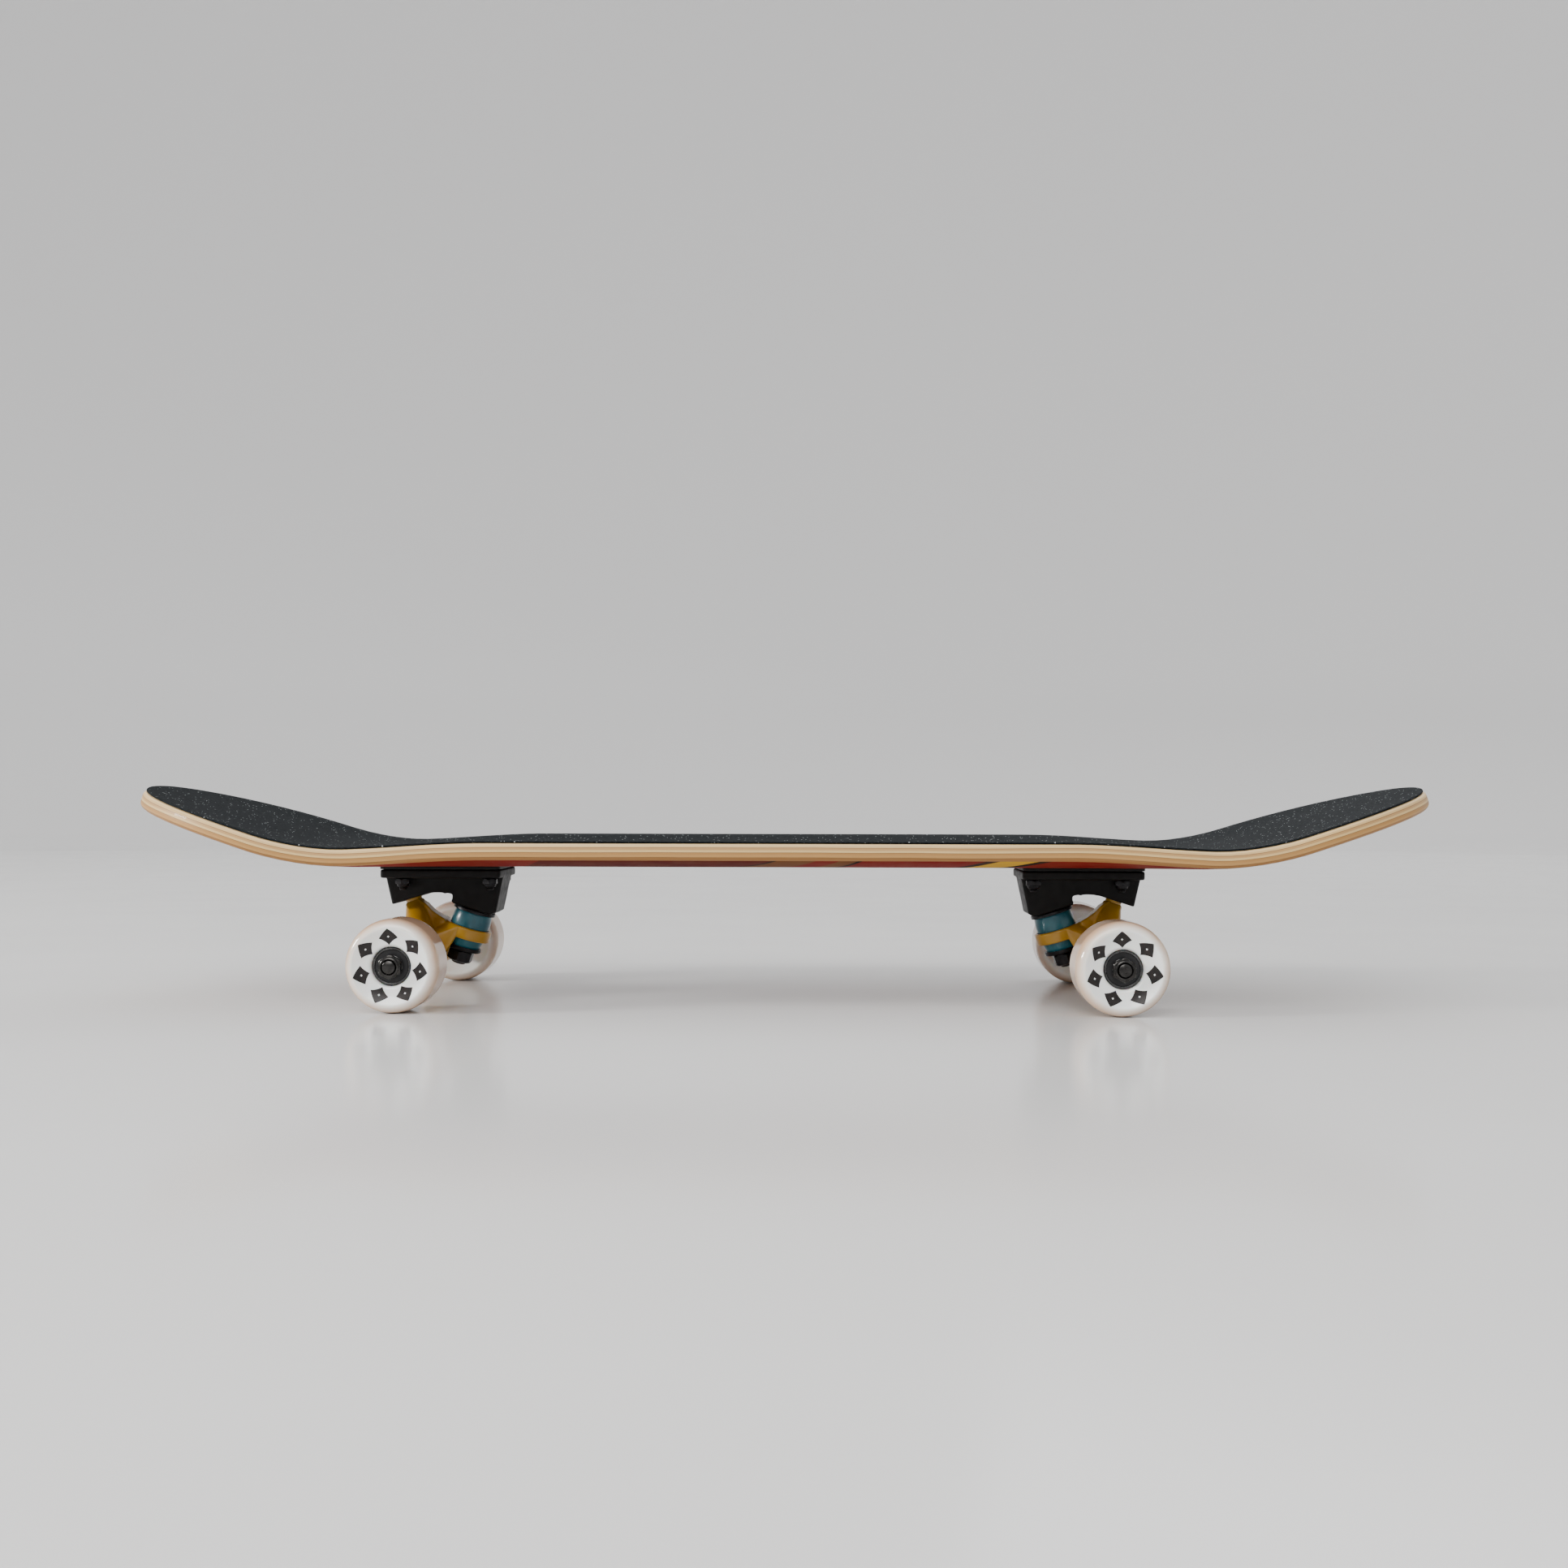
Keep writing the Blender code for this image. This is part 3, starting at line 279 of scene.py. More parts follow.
def pressed(along, across, height):
    """A point of the pressed board. The height is over the upper face, square to the middle line."""
    start = NOSE_KICK if along > 0 else TAIL_KICK
    run, rise, turn = kick_point(abs(along), start)
    fade = smooth_step((abs(along) - CONCAVE_FULL) / (CONCAVE_SHALLOW - CONCAVE_FULL))
    depth = CONCAVE + (KICK_CONCAVE - CONCAVE) * fade
    side = max(0.0, (abs(across) - FLAT_HALF) / (DECK_WIDTH / 2 - FLAT_HALF))
    lift = height + depth * side * side
    x = math.copysign(run - lift * math.sin(turn), along)
    return Vector((x, across, DECK_TOP + rise + lift * math.cos(turn)))


def half_outline():
    """Points of the flat outline on its +Y side, from the tail's tip to the nose's, as (along, across)."""
    halves = []
    for sign, start in ((-1, TAIL_KICK), (1, NOSE_KICK)):
        shoulder = tip_distance(start) - TIP_LENGTH
        side = []
        for step in range(TIP_STEPS + 1):
            angle = step * math.pi / 2 / TIP_STEPS
            reach = max(0.0, math.cos(angle)) ** (2 / TIP_FULLNESS)
            across = math.sin(angle) ** (2 / TIP_FULLNESS)
            side.append((sign * (shoulder + TIP_LENGTH * reach), DECK_WIDTH / 2 * across))
        for step in range(1, SIDE_STEPS):
            side.append((sign * shoulder * (1 - step / SIDE_STEPS), DECK_WIDTH / 2))
        halves.append(side)
    tail, nose = halves
    return tail + [(0.0, DECK_WIDTH / 2)] + nose[::-1]


def inset_outline(points, distance):
    """The half outline moved inwards, square to itself."""
    moved = []
    last = len(points) - 1
    for index, (along, across) in enumerate(points):
        before = points[index - 1] if index > 0 else (points[1][0], -points[1][1])
        after = points[index + 1] if index < last else (points[-2][0], -points[-2][1])
        way = Vector((after[0] - before[0], after[1] - before[1])).normalized()
        moved.append((along + way.y * distance, max(0.0, across - way.x * distance)))
    return moved


def pressed_sheet(name, section):
    """A closed sheet that follows the board. Its edge runs through the section's (inset, height) points, from
    the upper face's rim to the lower one's. Faces have index 0 on the edge and top, and 1 on the belly.
    The point attribute edge_place keeps the distance round the outline and the height over the belly."""
    outline = half_outline()
    bottom = section[-1][1]
    shape = bmesh.new()
    place = shape.verts.layers.float_vector.new("edge_place")

    def point(along, across, height, travelled):
        made = shape.verts.new(pressed(along, across, height))
        made[place] = (travelled, height - bottom, across)
        return made

    rings = []
    for inset, height in section:
        side = inset_outline(outline, inset)
        loop = side + [(along, -across) for along, across in side[-2:0:-1]]
        ring = []
        travelled = 0.0
        for index, (along, across) in enumerate(loop):
            if index:
                travelled += math.dist(loop[index - 1], loop[index])
            ring.append(point(along, across, height, travelled))
        rings.append(ring)
    for upper, lower in zip(rings, rings[1:]):
        stitch(shape, upper, lower)
    last = len(outline) - 1
    for ring, (inset, height), belly in ((rings[0], section[0], 0), (rings[-1], section[-1], 1)):
        side = inset_outline(outline, inset)
        rows = [[ring[0]] * (ACROSS_STEPS + 1)]
        for index in range(1, last):
            along, across = side[index]
            row = []
            for step in range(1, ACROSS_STEPS):
                share = 2 * step / ACROSS_STEPS - 1
                row.append(point(along, across * share, height, along))
            rows.append([ring[-index]] + row + [ring[index]])
        rows.append([ring[last]] * (ACROSS_STEPS + 1))
        for near, far in zip(rows, rows[1:]):
            for index in range(ACROSS_STEPS):
                corners = [near[index], near[index + 1], far[index + 1], far[index]]
                shape.faces.new(list(dict.fromkeys(corners))).material_index = belly
    bmesh.ops.recalc_face_normals(shape, faces=shape.faces)
    return to_mesh(name, shape)


def cut(mesh, cutters):
    """Cuts closed meshes out of a mesh, and gives the new one."""
    body = bpy.data.objects.new("blank", mesh)
    bpy.context.scene.collection.objects.link(body)
    helpers = []
    for cutter in cutters:
        helper = bpy.data.objects.new("cutter", cutter)
        bpy.context.scene.collection.objects.link(helper)
        helpers.append(helper)
        step = body.modifiers.new("cut", "BOOLEAN")
        step.operation = "DIFFERENCE"
        step.solver = "EXACT"
        step.object = helper
    graph = bpy.context.evaluated_depsgraph_get()
    made = bpy.data.meshes.new_from_object(body.evaluated_get(graph))
    for helper in helpers + [body]:
        bpy.data.objects.remove(helper)
    return made


def gather(name, meshes):
    """One mesh from several."""
    shape = bmesh.new()
    for mesh in meshes:
        shape.from_mesh(mesh)
    return to_mesh(name, shape)


def moved(mesh, matrix):
    mesh.transform(matrix)
    return mesh


BOLT_RADIUS = 0.0024
HOLE_SLACK = 0.0003
HOLES_BOTTOM = 0.05
HOLES_TOP = 0.12
bolt_places = {}
for name in sorted(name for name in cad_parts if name.startswith("bolt_")):
    low, high = box_of(name)
    bolt_places[name] = ((low.x + high.x) / 2, (low.y + high.y) / 2, low.z, high.z)


def bolt_holes(radius):
    """A cutter with one round hole at each bolt."""
    holes = []
    for x, y, _, _ in bolt_places.values():
        hole = lathe("hole", [(radius, HOLES_BOTTOM), (radius, HOLES_TOP)], 32)
        holes.append(moved(hole, Matrix.Translation((x, y, 0))))
    return gather("bolt_holes", holes)


rail = []
for step in range(RAIL_STEPS + 1):
    angle = step * math.pi / 2 / RAIL_STEPS
    rail.append((RAIL_ROUND * (1 - math.sin(angle)), -RAIL_ROUND * (1 - math.cos(angle))))
rail_lower = [(inset, -PLY_STACK - height) for inset, height in reversed(rail)]

def arithmetic(material, operation, *values):
    return node(material, "ShaderNodeMath", *values, operation=operation)


def split(material, point):
    """The x, y and z of a point."""
    return node(material, "ShaderNodeSeparateXYZ", point).node.outputs


def kept_point(material, attribute):
    """The x, y and z that a mesh keeps under this name."""
    found = node(material, "ShaderNodeAttribute", attribute_name=attribute)
    return split(material, found.node.outputs["Vector"])


def ramp(material, factor, stops, interpolation="LINEAR"):
    """The colour at a factor, from stops of (share, colour)."""
    made = node(material, "ShaderNodeValToRGB", factor)
    scale = made.node.color_ramp
    scale.interpolation = interpolation
    scale.elements.remove(scale.elements[-1])
    scale.elements[0].position = stops[0][0]
    for share, _ in stops[1:]:
        scale.elements.new(share)
    for stop, (_, colour) in zip(scale.elements, stops):
        stop.color = (*colour, 1)
    return made


def blend_colours(material, factor, first, second):
    made = material.node_tree.nodes.new("ShaderNodeMix")
    made.data_type = "RGBA"
    for place, value in ((0, factor), (6, first), (7, second)):
        if isinstance(value, bpy.types.NodeSocket):
            material.node_tree.links.new(value, made.inputs[place])
        else:
            made.inputs[place].default_value = value if place == 0 else (*value, 1)
    return made.outputs[2]


PLY_COLOURS = (
    (0.340, 0.160, 0.042),
    (0.470, 0.260, 0.085),
    (0.390, 0.205, 0.062),
    (0.650, 0.455, 0.200),
    (0.460, 0.275, 0.110),
    (0.610, 0.415, 0.185),
    (0.740, 0.540, 0.280),
)
GLUE = (0.130, 0.055, 0.016)
GLUED_PLIES = (0, 2, 4)  # those with a glue line that shows over them, counted from the belly
GLUE_BLEND = 0.026
SWAY = 0.0009
plies = []
for index, colour in enumerate(PLY_COLOURS):
    plies.append((index / PLIES + GLUE_BLEND, colour))
    plies.append(((index + 1) / PLIES - GLUE_BLEND, colour))
    if index in GLUED_PLIES:
        plies.append(((index + 1) / PLIES, GLUE))
maple_edge, shader = finish(
    "lacquered_maple", (0.60, 0.42, 0.25), 0.45, Specular_IOR_Level=0.25, Coat_Weight=0.06
)
travelled, above_belly, _ = kept_point(maple_edge, "edge_place")
sway_place = node(maple_edge, "ShaderNodeCombineXYZ", arithmetic(maple_edge, "MULTIPLY", travelled, 9.0))
sway = node(maple_edge, "ShaderNodeTexNoise", Vector=sway_place, Scale=1.0, Detail=2.0)
sway = node(maple_edge, "ShaderNodeMapRange", sway, 0.0, 1.0, -SWAY, SWAY)
level = arithmetic(maple_edge, "DIVIDE", arithmetic(maple_edge, "ADD", above_belly, sway), PLY_STACK)
bands = ramp(maple_edge, level, plies)
grain_along = arithmetic(maple_edge, "MULTIPLY", travelled, 34.0)
grain_up = arithmetic(maple_edge, "MULTIPLY", above_belly, 2400.0)
grain_place = node(maple_edge, "ShaderNodeCombineXYZ", grain_along, grain_up)
grain = node(maple_edge, "ShaderNodeTexNoise", Vector=grain_place, Scale=1.0, Detail=5.0, Roughness=0.6)
streaked = blend_colours(maple_edge, spread(maple_edge, grain, 0.0, 0.30), bands, (0.30, 0.17, 0.08))
join(maple_edge, streaked, shader, "Base Color")
relief = node(maple_edge, "ShaderNodeBump", Strength=0.25, Distance=0.00008, Height=grain)
join(maple_edge, relief, shader, "Normal")

CRIMSON = (0.190, 0.010, 0.009)
DARK_CRIMSON = (0.095, 0.007, 0.007)
OCHRE = (0.620, 0.360, 0.030)
BROWN = (0.160, 0.060, 0.022)
INK = (0.006, 0.005, 0.005)
STRIPES = (
    (0.00, CRIMSON), (0.04, INK), (0.046, OCHRE), (0.085, INK), (0.091, CRIMSON),
    (0.30, DARK_CRIMSON), (0.46, INK), (0.464, BROWN), (0.495, CRIMSON), (0.515, BROWN),
    (0.53, INK), (0.534, CRIMSON), (0.62, INK), (0.626, OCHRE), (0.652, INK),
    (0.659, CRIMSON), (0.80, DARK_CRIMSON), (0.92, INK), (0.926, OCHRE), (0.96, INK), (0.966, CRIMSON),
)
STRIPES_HALF = 0.4
belly_paint, shader = finish("belly_paint", (0.30, 0.012, 0.012), 0.6, Specular_IOR_Level=0.015)
belly_x, belly_y, _ = split(belly_paint, local_place(belly_paint))
slant = arithmetic(belly_paint, "MULTIPLY_ADD", belly_y, 0.55, belly_x)
wave_place = node(belly_paint, "ShaderNodeCombineXYZ", belly_y, belly_x)
wave = node(belly_paint, "ShaderNodeTexNoise", Vector=wave_place, Scale=7.0, Detail=0.0)
slant = arithmetic(belly_paint, "MULTIPLY_ADD", wave, 0.05, slant)
share = node(belly_paint, "ShaderNodeMapRange", slant, -STRIPES_HALF, STRIPES_HALF, 0.0, 1.0)
stripes = ramp(belly_paint, share, STRIPES, "CONSTANT")
scuff = spread(belly_paint, speckle(belly_paint, 60.0, 5.0), 0.0, 0.16)
join(belly_paint, blend_colours(belly_paint, scuff, stripes, (0.32, 0.16, 0.08)), shader, "Base Color")

deck_mesh = pressed_sheet("deck", rail + rail_lower)
deck_mesh.materials.append(maple_edge)
deck_mesh.materials.append(belly_paint)
deck_mesh = cut(deck_mesh, [bolt_holes(BOLT_RADIUS + HOLE_SLACK)])
deck = show("deck", deck_mesh, [maple_edge, belly_paint], 50)
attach(deck, "board")
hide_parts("deck")

# ---------------------------------------------------------------- grip tape
# A sheet of coarse black silicon carbide grit on self-adhesive film, stuck on the upper face and trimmed
# with a blade just inside the edge. Single crystals catch the light, and their glints are painted into the
# colour as light grey specks.

TAPE_THICKNESS = 0.0007
TAPE_INSET = 0.0012
TAPE_GAP = 0.0003
TAPE_EDGE = 0.0002
BOLT_HEAD_RADIUS = 0.0047
CRYSTAL_SCALE = 1050.0
CRYSTAL_SHARE = 0.028
CRYSTAL_REACH = 0.40
tape_section = [
    (TAPE_INSET + TAPE_EDGE, TAPE_GAP + TAPE_THICKNESS),
    (TAPE_INSET, TAPE_GAP + TAPE_THICKNESS - TAPE_EDGE),
    (TAPE_INSET, TAPE_GAP),
]
tape_mesh = pressed_sheet("grip_tape", tape_section)
for face in tape_mesh.polygons:
    face.material_index = 0
tape_mesh = cut(tape_mesh, [bolt_holes(BOLT_HEAD_RADIUS + HOLE_SLACK)])
grit, shader = finish("silicon_carbide_grit", (0.010, 0.012, 0.014), 0.9, Specular_IOR_Level=0.06)
crystal = node(grit, "ShaderNodeTexVoronoi", Vector=local_place(grit), Scale=CRYSTAL_SCALE).node.outputs
pick = node(grit, "ShaderNodeSeparateColor", crystal["Color"])
glinting_cells = arithmetic(grit, "GREATER_THAN", pick, 1 - CRYSTAL_SHARE)
small = arithmetic(grit, "LESS_THAN", crystal["Distance"], CRYSTAL_REACH)
glint_mask = arithmetic(grit, "MULTIPLY", glinting_cells, small)
drift = spread(grit, speckle(grit, 620.0, 4.0), 0.0, 1.0)
dark = blend_colours(grit, drift, (0.003, 0.004, 0.005), (0.015, 0.018, 0.020))
# painted highlight: light grey specks in the base colour stand for glints off single crystals, which also get
# lower roughness
join(grit, blend_colours(grit, glint_mask, dark, (0.52, 0.55, 0.56)), shader, "Base Color")
join(grit, node(grit, "ShaderNodeMapRange", glint_mask, 0.0, 1.0, 0.85, 0.25), shader, "Roughness")
relief = node(grit, "ShaderNodeBump", Strength=0.25, Distance=0.00030, Height=speckle(grit, 1100.0, 2.0))
join(grit, relief, shader, "Normal")
tape = show("grip_tape", tape_mesh, grit, 60)
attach(tape, "board")
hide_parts("grip_tape")

# ---------------------------------------------------------------- riser pads
# A flat pad of black moulded plastic between each baseplate and the deck. It softens knocks and stands out
# a millimetre all round, its edge left square as it came out of the mould.

EDGE_STEPS = 4


def mottle(material, shader, first, second, scale, detail=3.0):
    """Lets the colour drift between two near tones."""
    factor = spread(material, speckle(material, scale, detail), 0.0, 1.0)
    join(material, blend_colours(material, factor, first, second), shader, "Base Color")


def roughen(material, shader, scale, depth, strength=1.0):
    """Fine relief, depth in metres."""
    grain = speckle(material, scale)
    relief = node(material, "ShaderNodeBump", Strength=strength, Distance=depth, Height=grain)
    join(material, relief, shader, "Normal")


def rounded_rectangle(length, width, corner, steps=8):
    """Points round a rectangle with round corners."""
    points = []
    for quarter, (x, y) in enumerate(((1, 1), (-1, 1), (-1, -1), (1, -1))):
        centre = Vector((x * (length / 2 - corner), y * (width / 2 - corner)))
        for step in range(steps + 1):
            angle = (quarter + step / steps) * math.pi / 2
            points.append(centre + corner * Vector((math.cos(angle), math.sin(angle))))
    return points


def loft(name, loops):
    """A closed mesh through loops of as many points each, with its two ends capped."""
    shape = bmesh.new()
    rings = [[shape.verts.new(point) for point in loop] for loop in loops]
    for lower, upper in zip(rings, rings[1:]):
        stitch(shape, lower, upper)
    shape.faces.new(rings[0][::-1])
    shape.faces.new(rings[-1])
    bmesh.ops.recalc_face_normals(shape, faces=shape.faces)
    return to_mesh(name, shape)


def plate(name, low, high, corner, edge):
    """A flat plate in the box from low to high, with round corners and softened edges."""
    size, middle = high - low, (low + high) / 2
    loops = []
    levels = [(edge * (1 - math.sin(a)), low.z + edge * (1 - math.cos(a)))
              for a in (step * math.pi / 2 / EDGE_STEPS for step in range(EDGE_STEPS + 1))]
    levels += [(inset, low.z + high.z - level) for inset, level in reversed(levels)]
    for inset, level in levels:
        outline = rounded_rectangle(size.x - 2 * inset, size.y - 2 * inset, corner - inset)
        loops.append([(middle.x + x, middle.y + y, level) for x, y in outline])
    return loft(name, loops)


PLATE_CORNER = 0.0035
RISER_MARGIN = 0.0010
RISER_EDGE = 0.00025
riser_plastic, shader = finish("moulded_plastic", (0.005, 0.005, 0.005), 0.5, Specular_IOR_Level=0.22)
mottle(riser_plastic, shader, (0.004, 0.004, 0.004), (0.007, 0.007, 0.007), 90.0)
roughen(riser_plastic, shader, 1400.0, 0.00006, 0.5)
for end in ("nose", "tail"):
    low, high = box_of(f"{end}_riser_pad")
    pad = plate(f"{end}_riser_pad", low, high, PLATE_CORNER + RISER_MARGIN, RISER_EDGE)
    pad = cut(pad, [bolt_holes(BOLT_RADIUS + HOLE_SLACK)])
    pad = show(f"{end}_riser_pad", pad, riser_plastic)
    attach(pad, "board")
    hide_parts(f"{end}_riser_pad")

# ---------------------------------------------------------------- baseplates
# Each is cast in aluminium in one piece: a flange under the riser, a block with the kingpin's boss at its
# inboard end and the pivot's pocket at the other, and an arch between them. It is powder coated satin black.

TRUCK_HEIGHT = 0.052  # from the axle to the top of the flange
FLANGE_THICKNESS = 0.0052
FLANGE_EDGE = 0.0008
BODY_HALF_WIDTH = 0.0140
BODY_EDGE = 0.0010
PIVOT_X = -0.0136
PIVOT_Z = 0.0390
PIVOT_TILT = math.radians(-18.0)
PIVOT_BALL_RADIUS = 0.0050
PIVOT_MOUTH = 0.0062
CUP_RADIUS = PIVOT_BALL_RADIUS + 0.0019
PIVOT_BOSS = CUP_RADIUS + 0.0038
RING_X = 0.0227
RING_Z = 0.0122
KINGPIN_TILT = math.radians(17.5)
RING_HALF = 0.0037
UPPER_BUSHING = 0.0102
WASHER_THICKNESS = 0.0012
FIT_GAP = 0.0003
BOSS_END = RING_HALF + UPPER_BUSHING + WASHER_THICKNESS + 2 * FIT_GAP
BUSHING_RADIUS = 0.0120
BOSS_RADIUS = BUSHING_RADIUS + 0.0004
BOSS_HEEL = 0.0036
HEEL_DRAFT = 0.0050
POCKET_DRAFT = 0.0045
ARCH_RISE = 0.0012
ARCH_CROWN = 0.0010
BOSS_SKIN = 0.0003
BOSS_STRAIGHT = 0.010
BOSS_TOP = 0.036
POCKET_TOP = 0.0115
POCKET_TOP_RADIUS = 0.0083
TOP_TRIM = 0.0010
WIDE_CUT = 0.08
CAST_VOXEL = 0.00055
KINGPIN_RADIUS = 0.00476
HOLE_RADIUS = KINGPIN_RADIUS + FIT_GAP
headings = {"tail": 0.0, "nose": math.pi}
trucks = {}
for end, heading in headings.items():
    low, high = box_of(f"{end}_axle")
    trucks[end] = Matrix.Translation((low + high) / 2) @ Matrix.Rotation(heading, 4, "Z")
kingpin_slope = Matrix.Translation((RING_X, 0, RING_Z)) @ Matrix.Rotation(KINGPIN_TILT, 4, "Y")
pivot_slope = Matrix.Translation((PIVOT_X, 0, PIVOT_Z)) @ Matrix.Rotation(PIVOT_TILT, 4, "Y")


def on_slope(slope, along, across):
    """(x, z) in the truck's frame of a point so far along a tilted axis and across it."""
    place = slope @ Vector((across, 0, along))
    return place.x, place.z


def cast(name, solids, voxel=CAST_VOXEL, rounds=5):
    """One cast body from solids that overlap, with its corners and joins rounded as in a mould."""
    rough = bpy.data.objects.new(name, gather(name, solids))
    bpy.context.scene.collection.objects.link(rough)
    fuse = rough.modifiers.new("fuse", "REMESH")
    fuse.mode = "VOXEL"
    fuse.voxel_size = voxel
    soften = rough.modifiers.new("soften", "SMOOTH")
    soften.iterations = rounds
    soften.factor = 0.5
    graph = bpy.context.evaluated_depsgraph_get()
    made = bpy.data.meshes.new_from_object(rough.evaluated_get(graph))
    bpy.data.objects.remove(rough)
    return made


def hull(name, points):
    """The tightest skin round the points."""
    shape = bmesh.new()
    for point in points:
        shape.verts.new(point)
    made = bmesh.ops.convex_hull(shape, input=shape.verts)
    spare = made["geom_interior"] + made["geom_unused"]
    loose = {item for item in spare if isinstance(item, bmesh.types.BMVert)}
    bmesh.ops.delete(shape, geom=list(loose), context="VERTS")
    return to_mesh(name, shape)


def arc(start, middle, end, steps=8):
    """Points of a smooth bend from start to end that leans towards middle."""
    bend = []
    for step in range(steps + 1):
        t = step / steps
        bend.append((1 - t) ** 2 * Vector(start) + 2 * t * (1 - t) * Vector(middle) + t * t * Vector(end))
    return [(point.x, point.y) for point in bend]


def body_outline():
    """Side view of the block under the flange, as (x, z)."""
    top = TRUCK_HEIGHT - FLANGE_THICKNESS / 2
    outer_mouth = on_slope(pivot_slope, -PIVOT_MOUTH, -PIVOT_BOSS)
    inner_mouth = on_slope(pivot_slope, -PIVOT_MOUTH, PIVOT_BOSS)
    boss_outboard = on_slope(kingpin_slope, BOSS_END, -BOSS_RADIUS)
    boss_inboard = on_slope(kingpin_slope, BOSS_END, BOSS_RADIUS)
    arch_top = inner_mouth[1] + ARCH_RISE
    arch_end = (boss_outboard[0] + ARCH_RISE, arch_top - ARCH_RISE)
    heel = (boss_inboard[0] + BOSS_HEEL, boss_inboard[1] + BOSS_HEEL / 2)
    crown = ((inner_mouth[0] + arch_end[0]) / 2, arch_top + ARCH_CROWN)
    points = [(outer_mouth[0] - POCKET_DRAFT, top), outer_mouth]
    points += arc(inner_mouth, crown, arch_end, 10)
    points += [boss_outboard, boss_inboard, heel, (heel[0] + HEEL_DRAFT, top)]
    return points


def slab(name, outline, half_width, edge):
    """The outline (x, z) as a slab across the truck, a little smaller at its two faces."""
    middle = sum((Vector(point) for point in outline), Vector((0, 0))) / len(outline)
    loops = []
    for y, inset in ((-half_width, edge), (edge - half_width, 0), (half_width - edge, 0), (half_width, edge)):
        loop = []
        for point in outline:
            reach = Vector(point) - middle
            drawn = middle + reach * (1 - inset / max(reach.length, edge))
            loop.append((drawn.x, y, drawn.y))
        loops.append(loop)
    return loft(name, loops)


boss_cone = [
    (BOSS_RADIUS + BOSS_SKIN, BOSS_END),
    (BOSS_RADIUS + BOSS_SKIN, BOSS_END + BOSS_STRAIGHT),
    (BOSS_RADIUS, BOSS_TOP),
]
pocket_cone = [
    (PIVOT_BOSS - 0.0006, -PIVOT_MOUTH),
    (PIVOT_BOSS - 0.0008, -0.001),
    (POCKET_TOP_RADIUS, POCKET_TOP),
]
cast_black, shader = finish("satin_black_coat", (0.0035, 0.0035, 0.0035), 0.5, Specular_IOR_Level=0.2)
mottle(cast_black, shader, (0.0028, 0.0028, 0.0028), (0.0045, 0.0043, 0.0042), 160.0)
sheen(cast_black, shader, 220.0, 0.42, 0.56)
roughen(cast_black, shader, 900.0, 0.00010, 0.6)
for end, truck in trucks.items():
    low, high = box_of(f"{end}_baseplate")
    low.z = high.z - FLANGE_THICKNESS
    flange = moved(plate("flange", low, high, PLATE_CORNER, FLANGE_EDGE), truck.inverted())
    block = slab("block", body_outline(), BODY_HALF_WIDTH, BODY_EDGE)
    boss = moved(lathe("boss", boss_cone), kingpin_slope)
    pocket = moved(lathe("pocket", pocket_cone), pivot_slope)
    top_cut = lathe("top_cut", [(WIDE_CUT, TRUCK_HEIGHT - TOP_TRIM), (WIDE_CUT, 2 * TRUCK_HEIGHT)], 32)
    solids = [cut(solid, [top_cut]) for solid in (block, boss, pocket)]
    casting = moved(cast(f"{end}_baseplate", [flange] + solids), truck)
    hole = lathe("kingpin_hole", [(HOLE_RADIUS, BOSS_END - 0.01), (HOLE_RADIUS, 0.06)], 48)
    socket = lathe("socket", [(CUP_RADIUS, -2 * PIVOT_MOUTH), (CUP_RADIUS, CUP_RADIUS)], 48)
    cutters = [moved(hole, truck @ kingpin_slope), moved(socket, truck @ pivot_slope)]
    casting = cut(casting, cutters + [bolt_holes(BOLT_RADIUS + HOLE_SLACK)])
    baseplate = show(f"{end}_baseplate", casting, cast_black)
    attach(baseplate, "board")
    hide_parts(f"{end}_baseplate")

# ---------------------------------------------------------------- pivot cups
# A cup of tough black urethane pressed into each baseplate's pocket. The hanger's pivot turns in it, so its
# inside is round and opens out at the mouth.

BALL_CLEARANCE = 0.0004
CUP_WALL = 0.0012
CUP_EDGE = 0.0004
CUP_PINHOLE = 0.0002
PIVOT_FLARE = 0.0007
DOME_STEPS = 12


def dome(radius):
    """Rings of half a ball, from near its pole down to its equator."""
    angles = [step * math.pi / 2 / DOME_STEPS for step in range(1, DOME_STEPS + 1)]
    return [(radius * math.sin(angle), radius * math.cos(angle)) for angle in angles]


cup_rubber, shader = finish("pivot_urethane", (0.014, 0.014, 0.015), 0.55)
roughen(cup_rubber, shader, 1100.0, 0.00004, 0.4)
cup_inner = PIVOT_BALL_RADIUS + BALL_CLEARANCE
cup_outer = cup_inner + CUP_WALL
cup_rings = [(CUP_PINHOLE, cup_outer), (cup_outer - CUP_EDGE, cup_outer), (cup_outer, cup_outer - CUP_EDGE)]
cup_rings += [(cup_outer, -PIVOT_MOUTH), (cup_inner + PIVOT_FLARE, -PIVOT_MOUTH)]
cup_rings += dome(cup_inner)[::-1] + [(CUP_PINHOLE, cup_inner)]
for end, truck in trucks.items():
    cup = moved(lathe(f"{end}_pivot_cup", cup_rings, 48, bored=True), truck @ pivot_slope)
    cup = show(f"{end}_pivot_cup", cup, cup_rubber)
    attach(cup, "board")
    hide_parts(f"{end}_pivot_cup")

# ---------------------------------------------------------------- kingpins, cup washers and kingpin nuts
# The kingpin is a black oxided steel bolt, pressed into the baseplate from above, that carries the truck.
# Cup washers of pressed steel hold the bushings' ends, and a hexagon nut below sets how stiffly it turns.

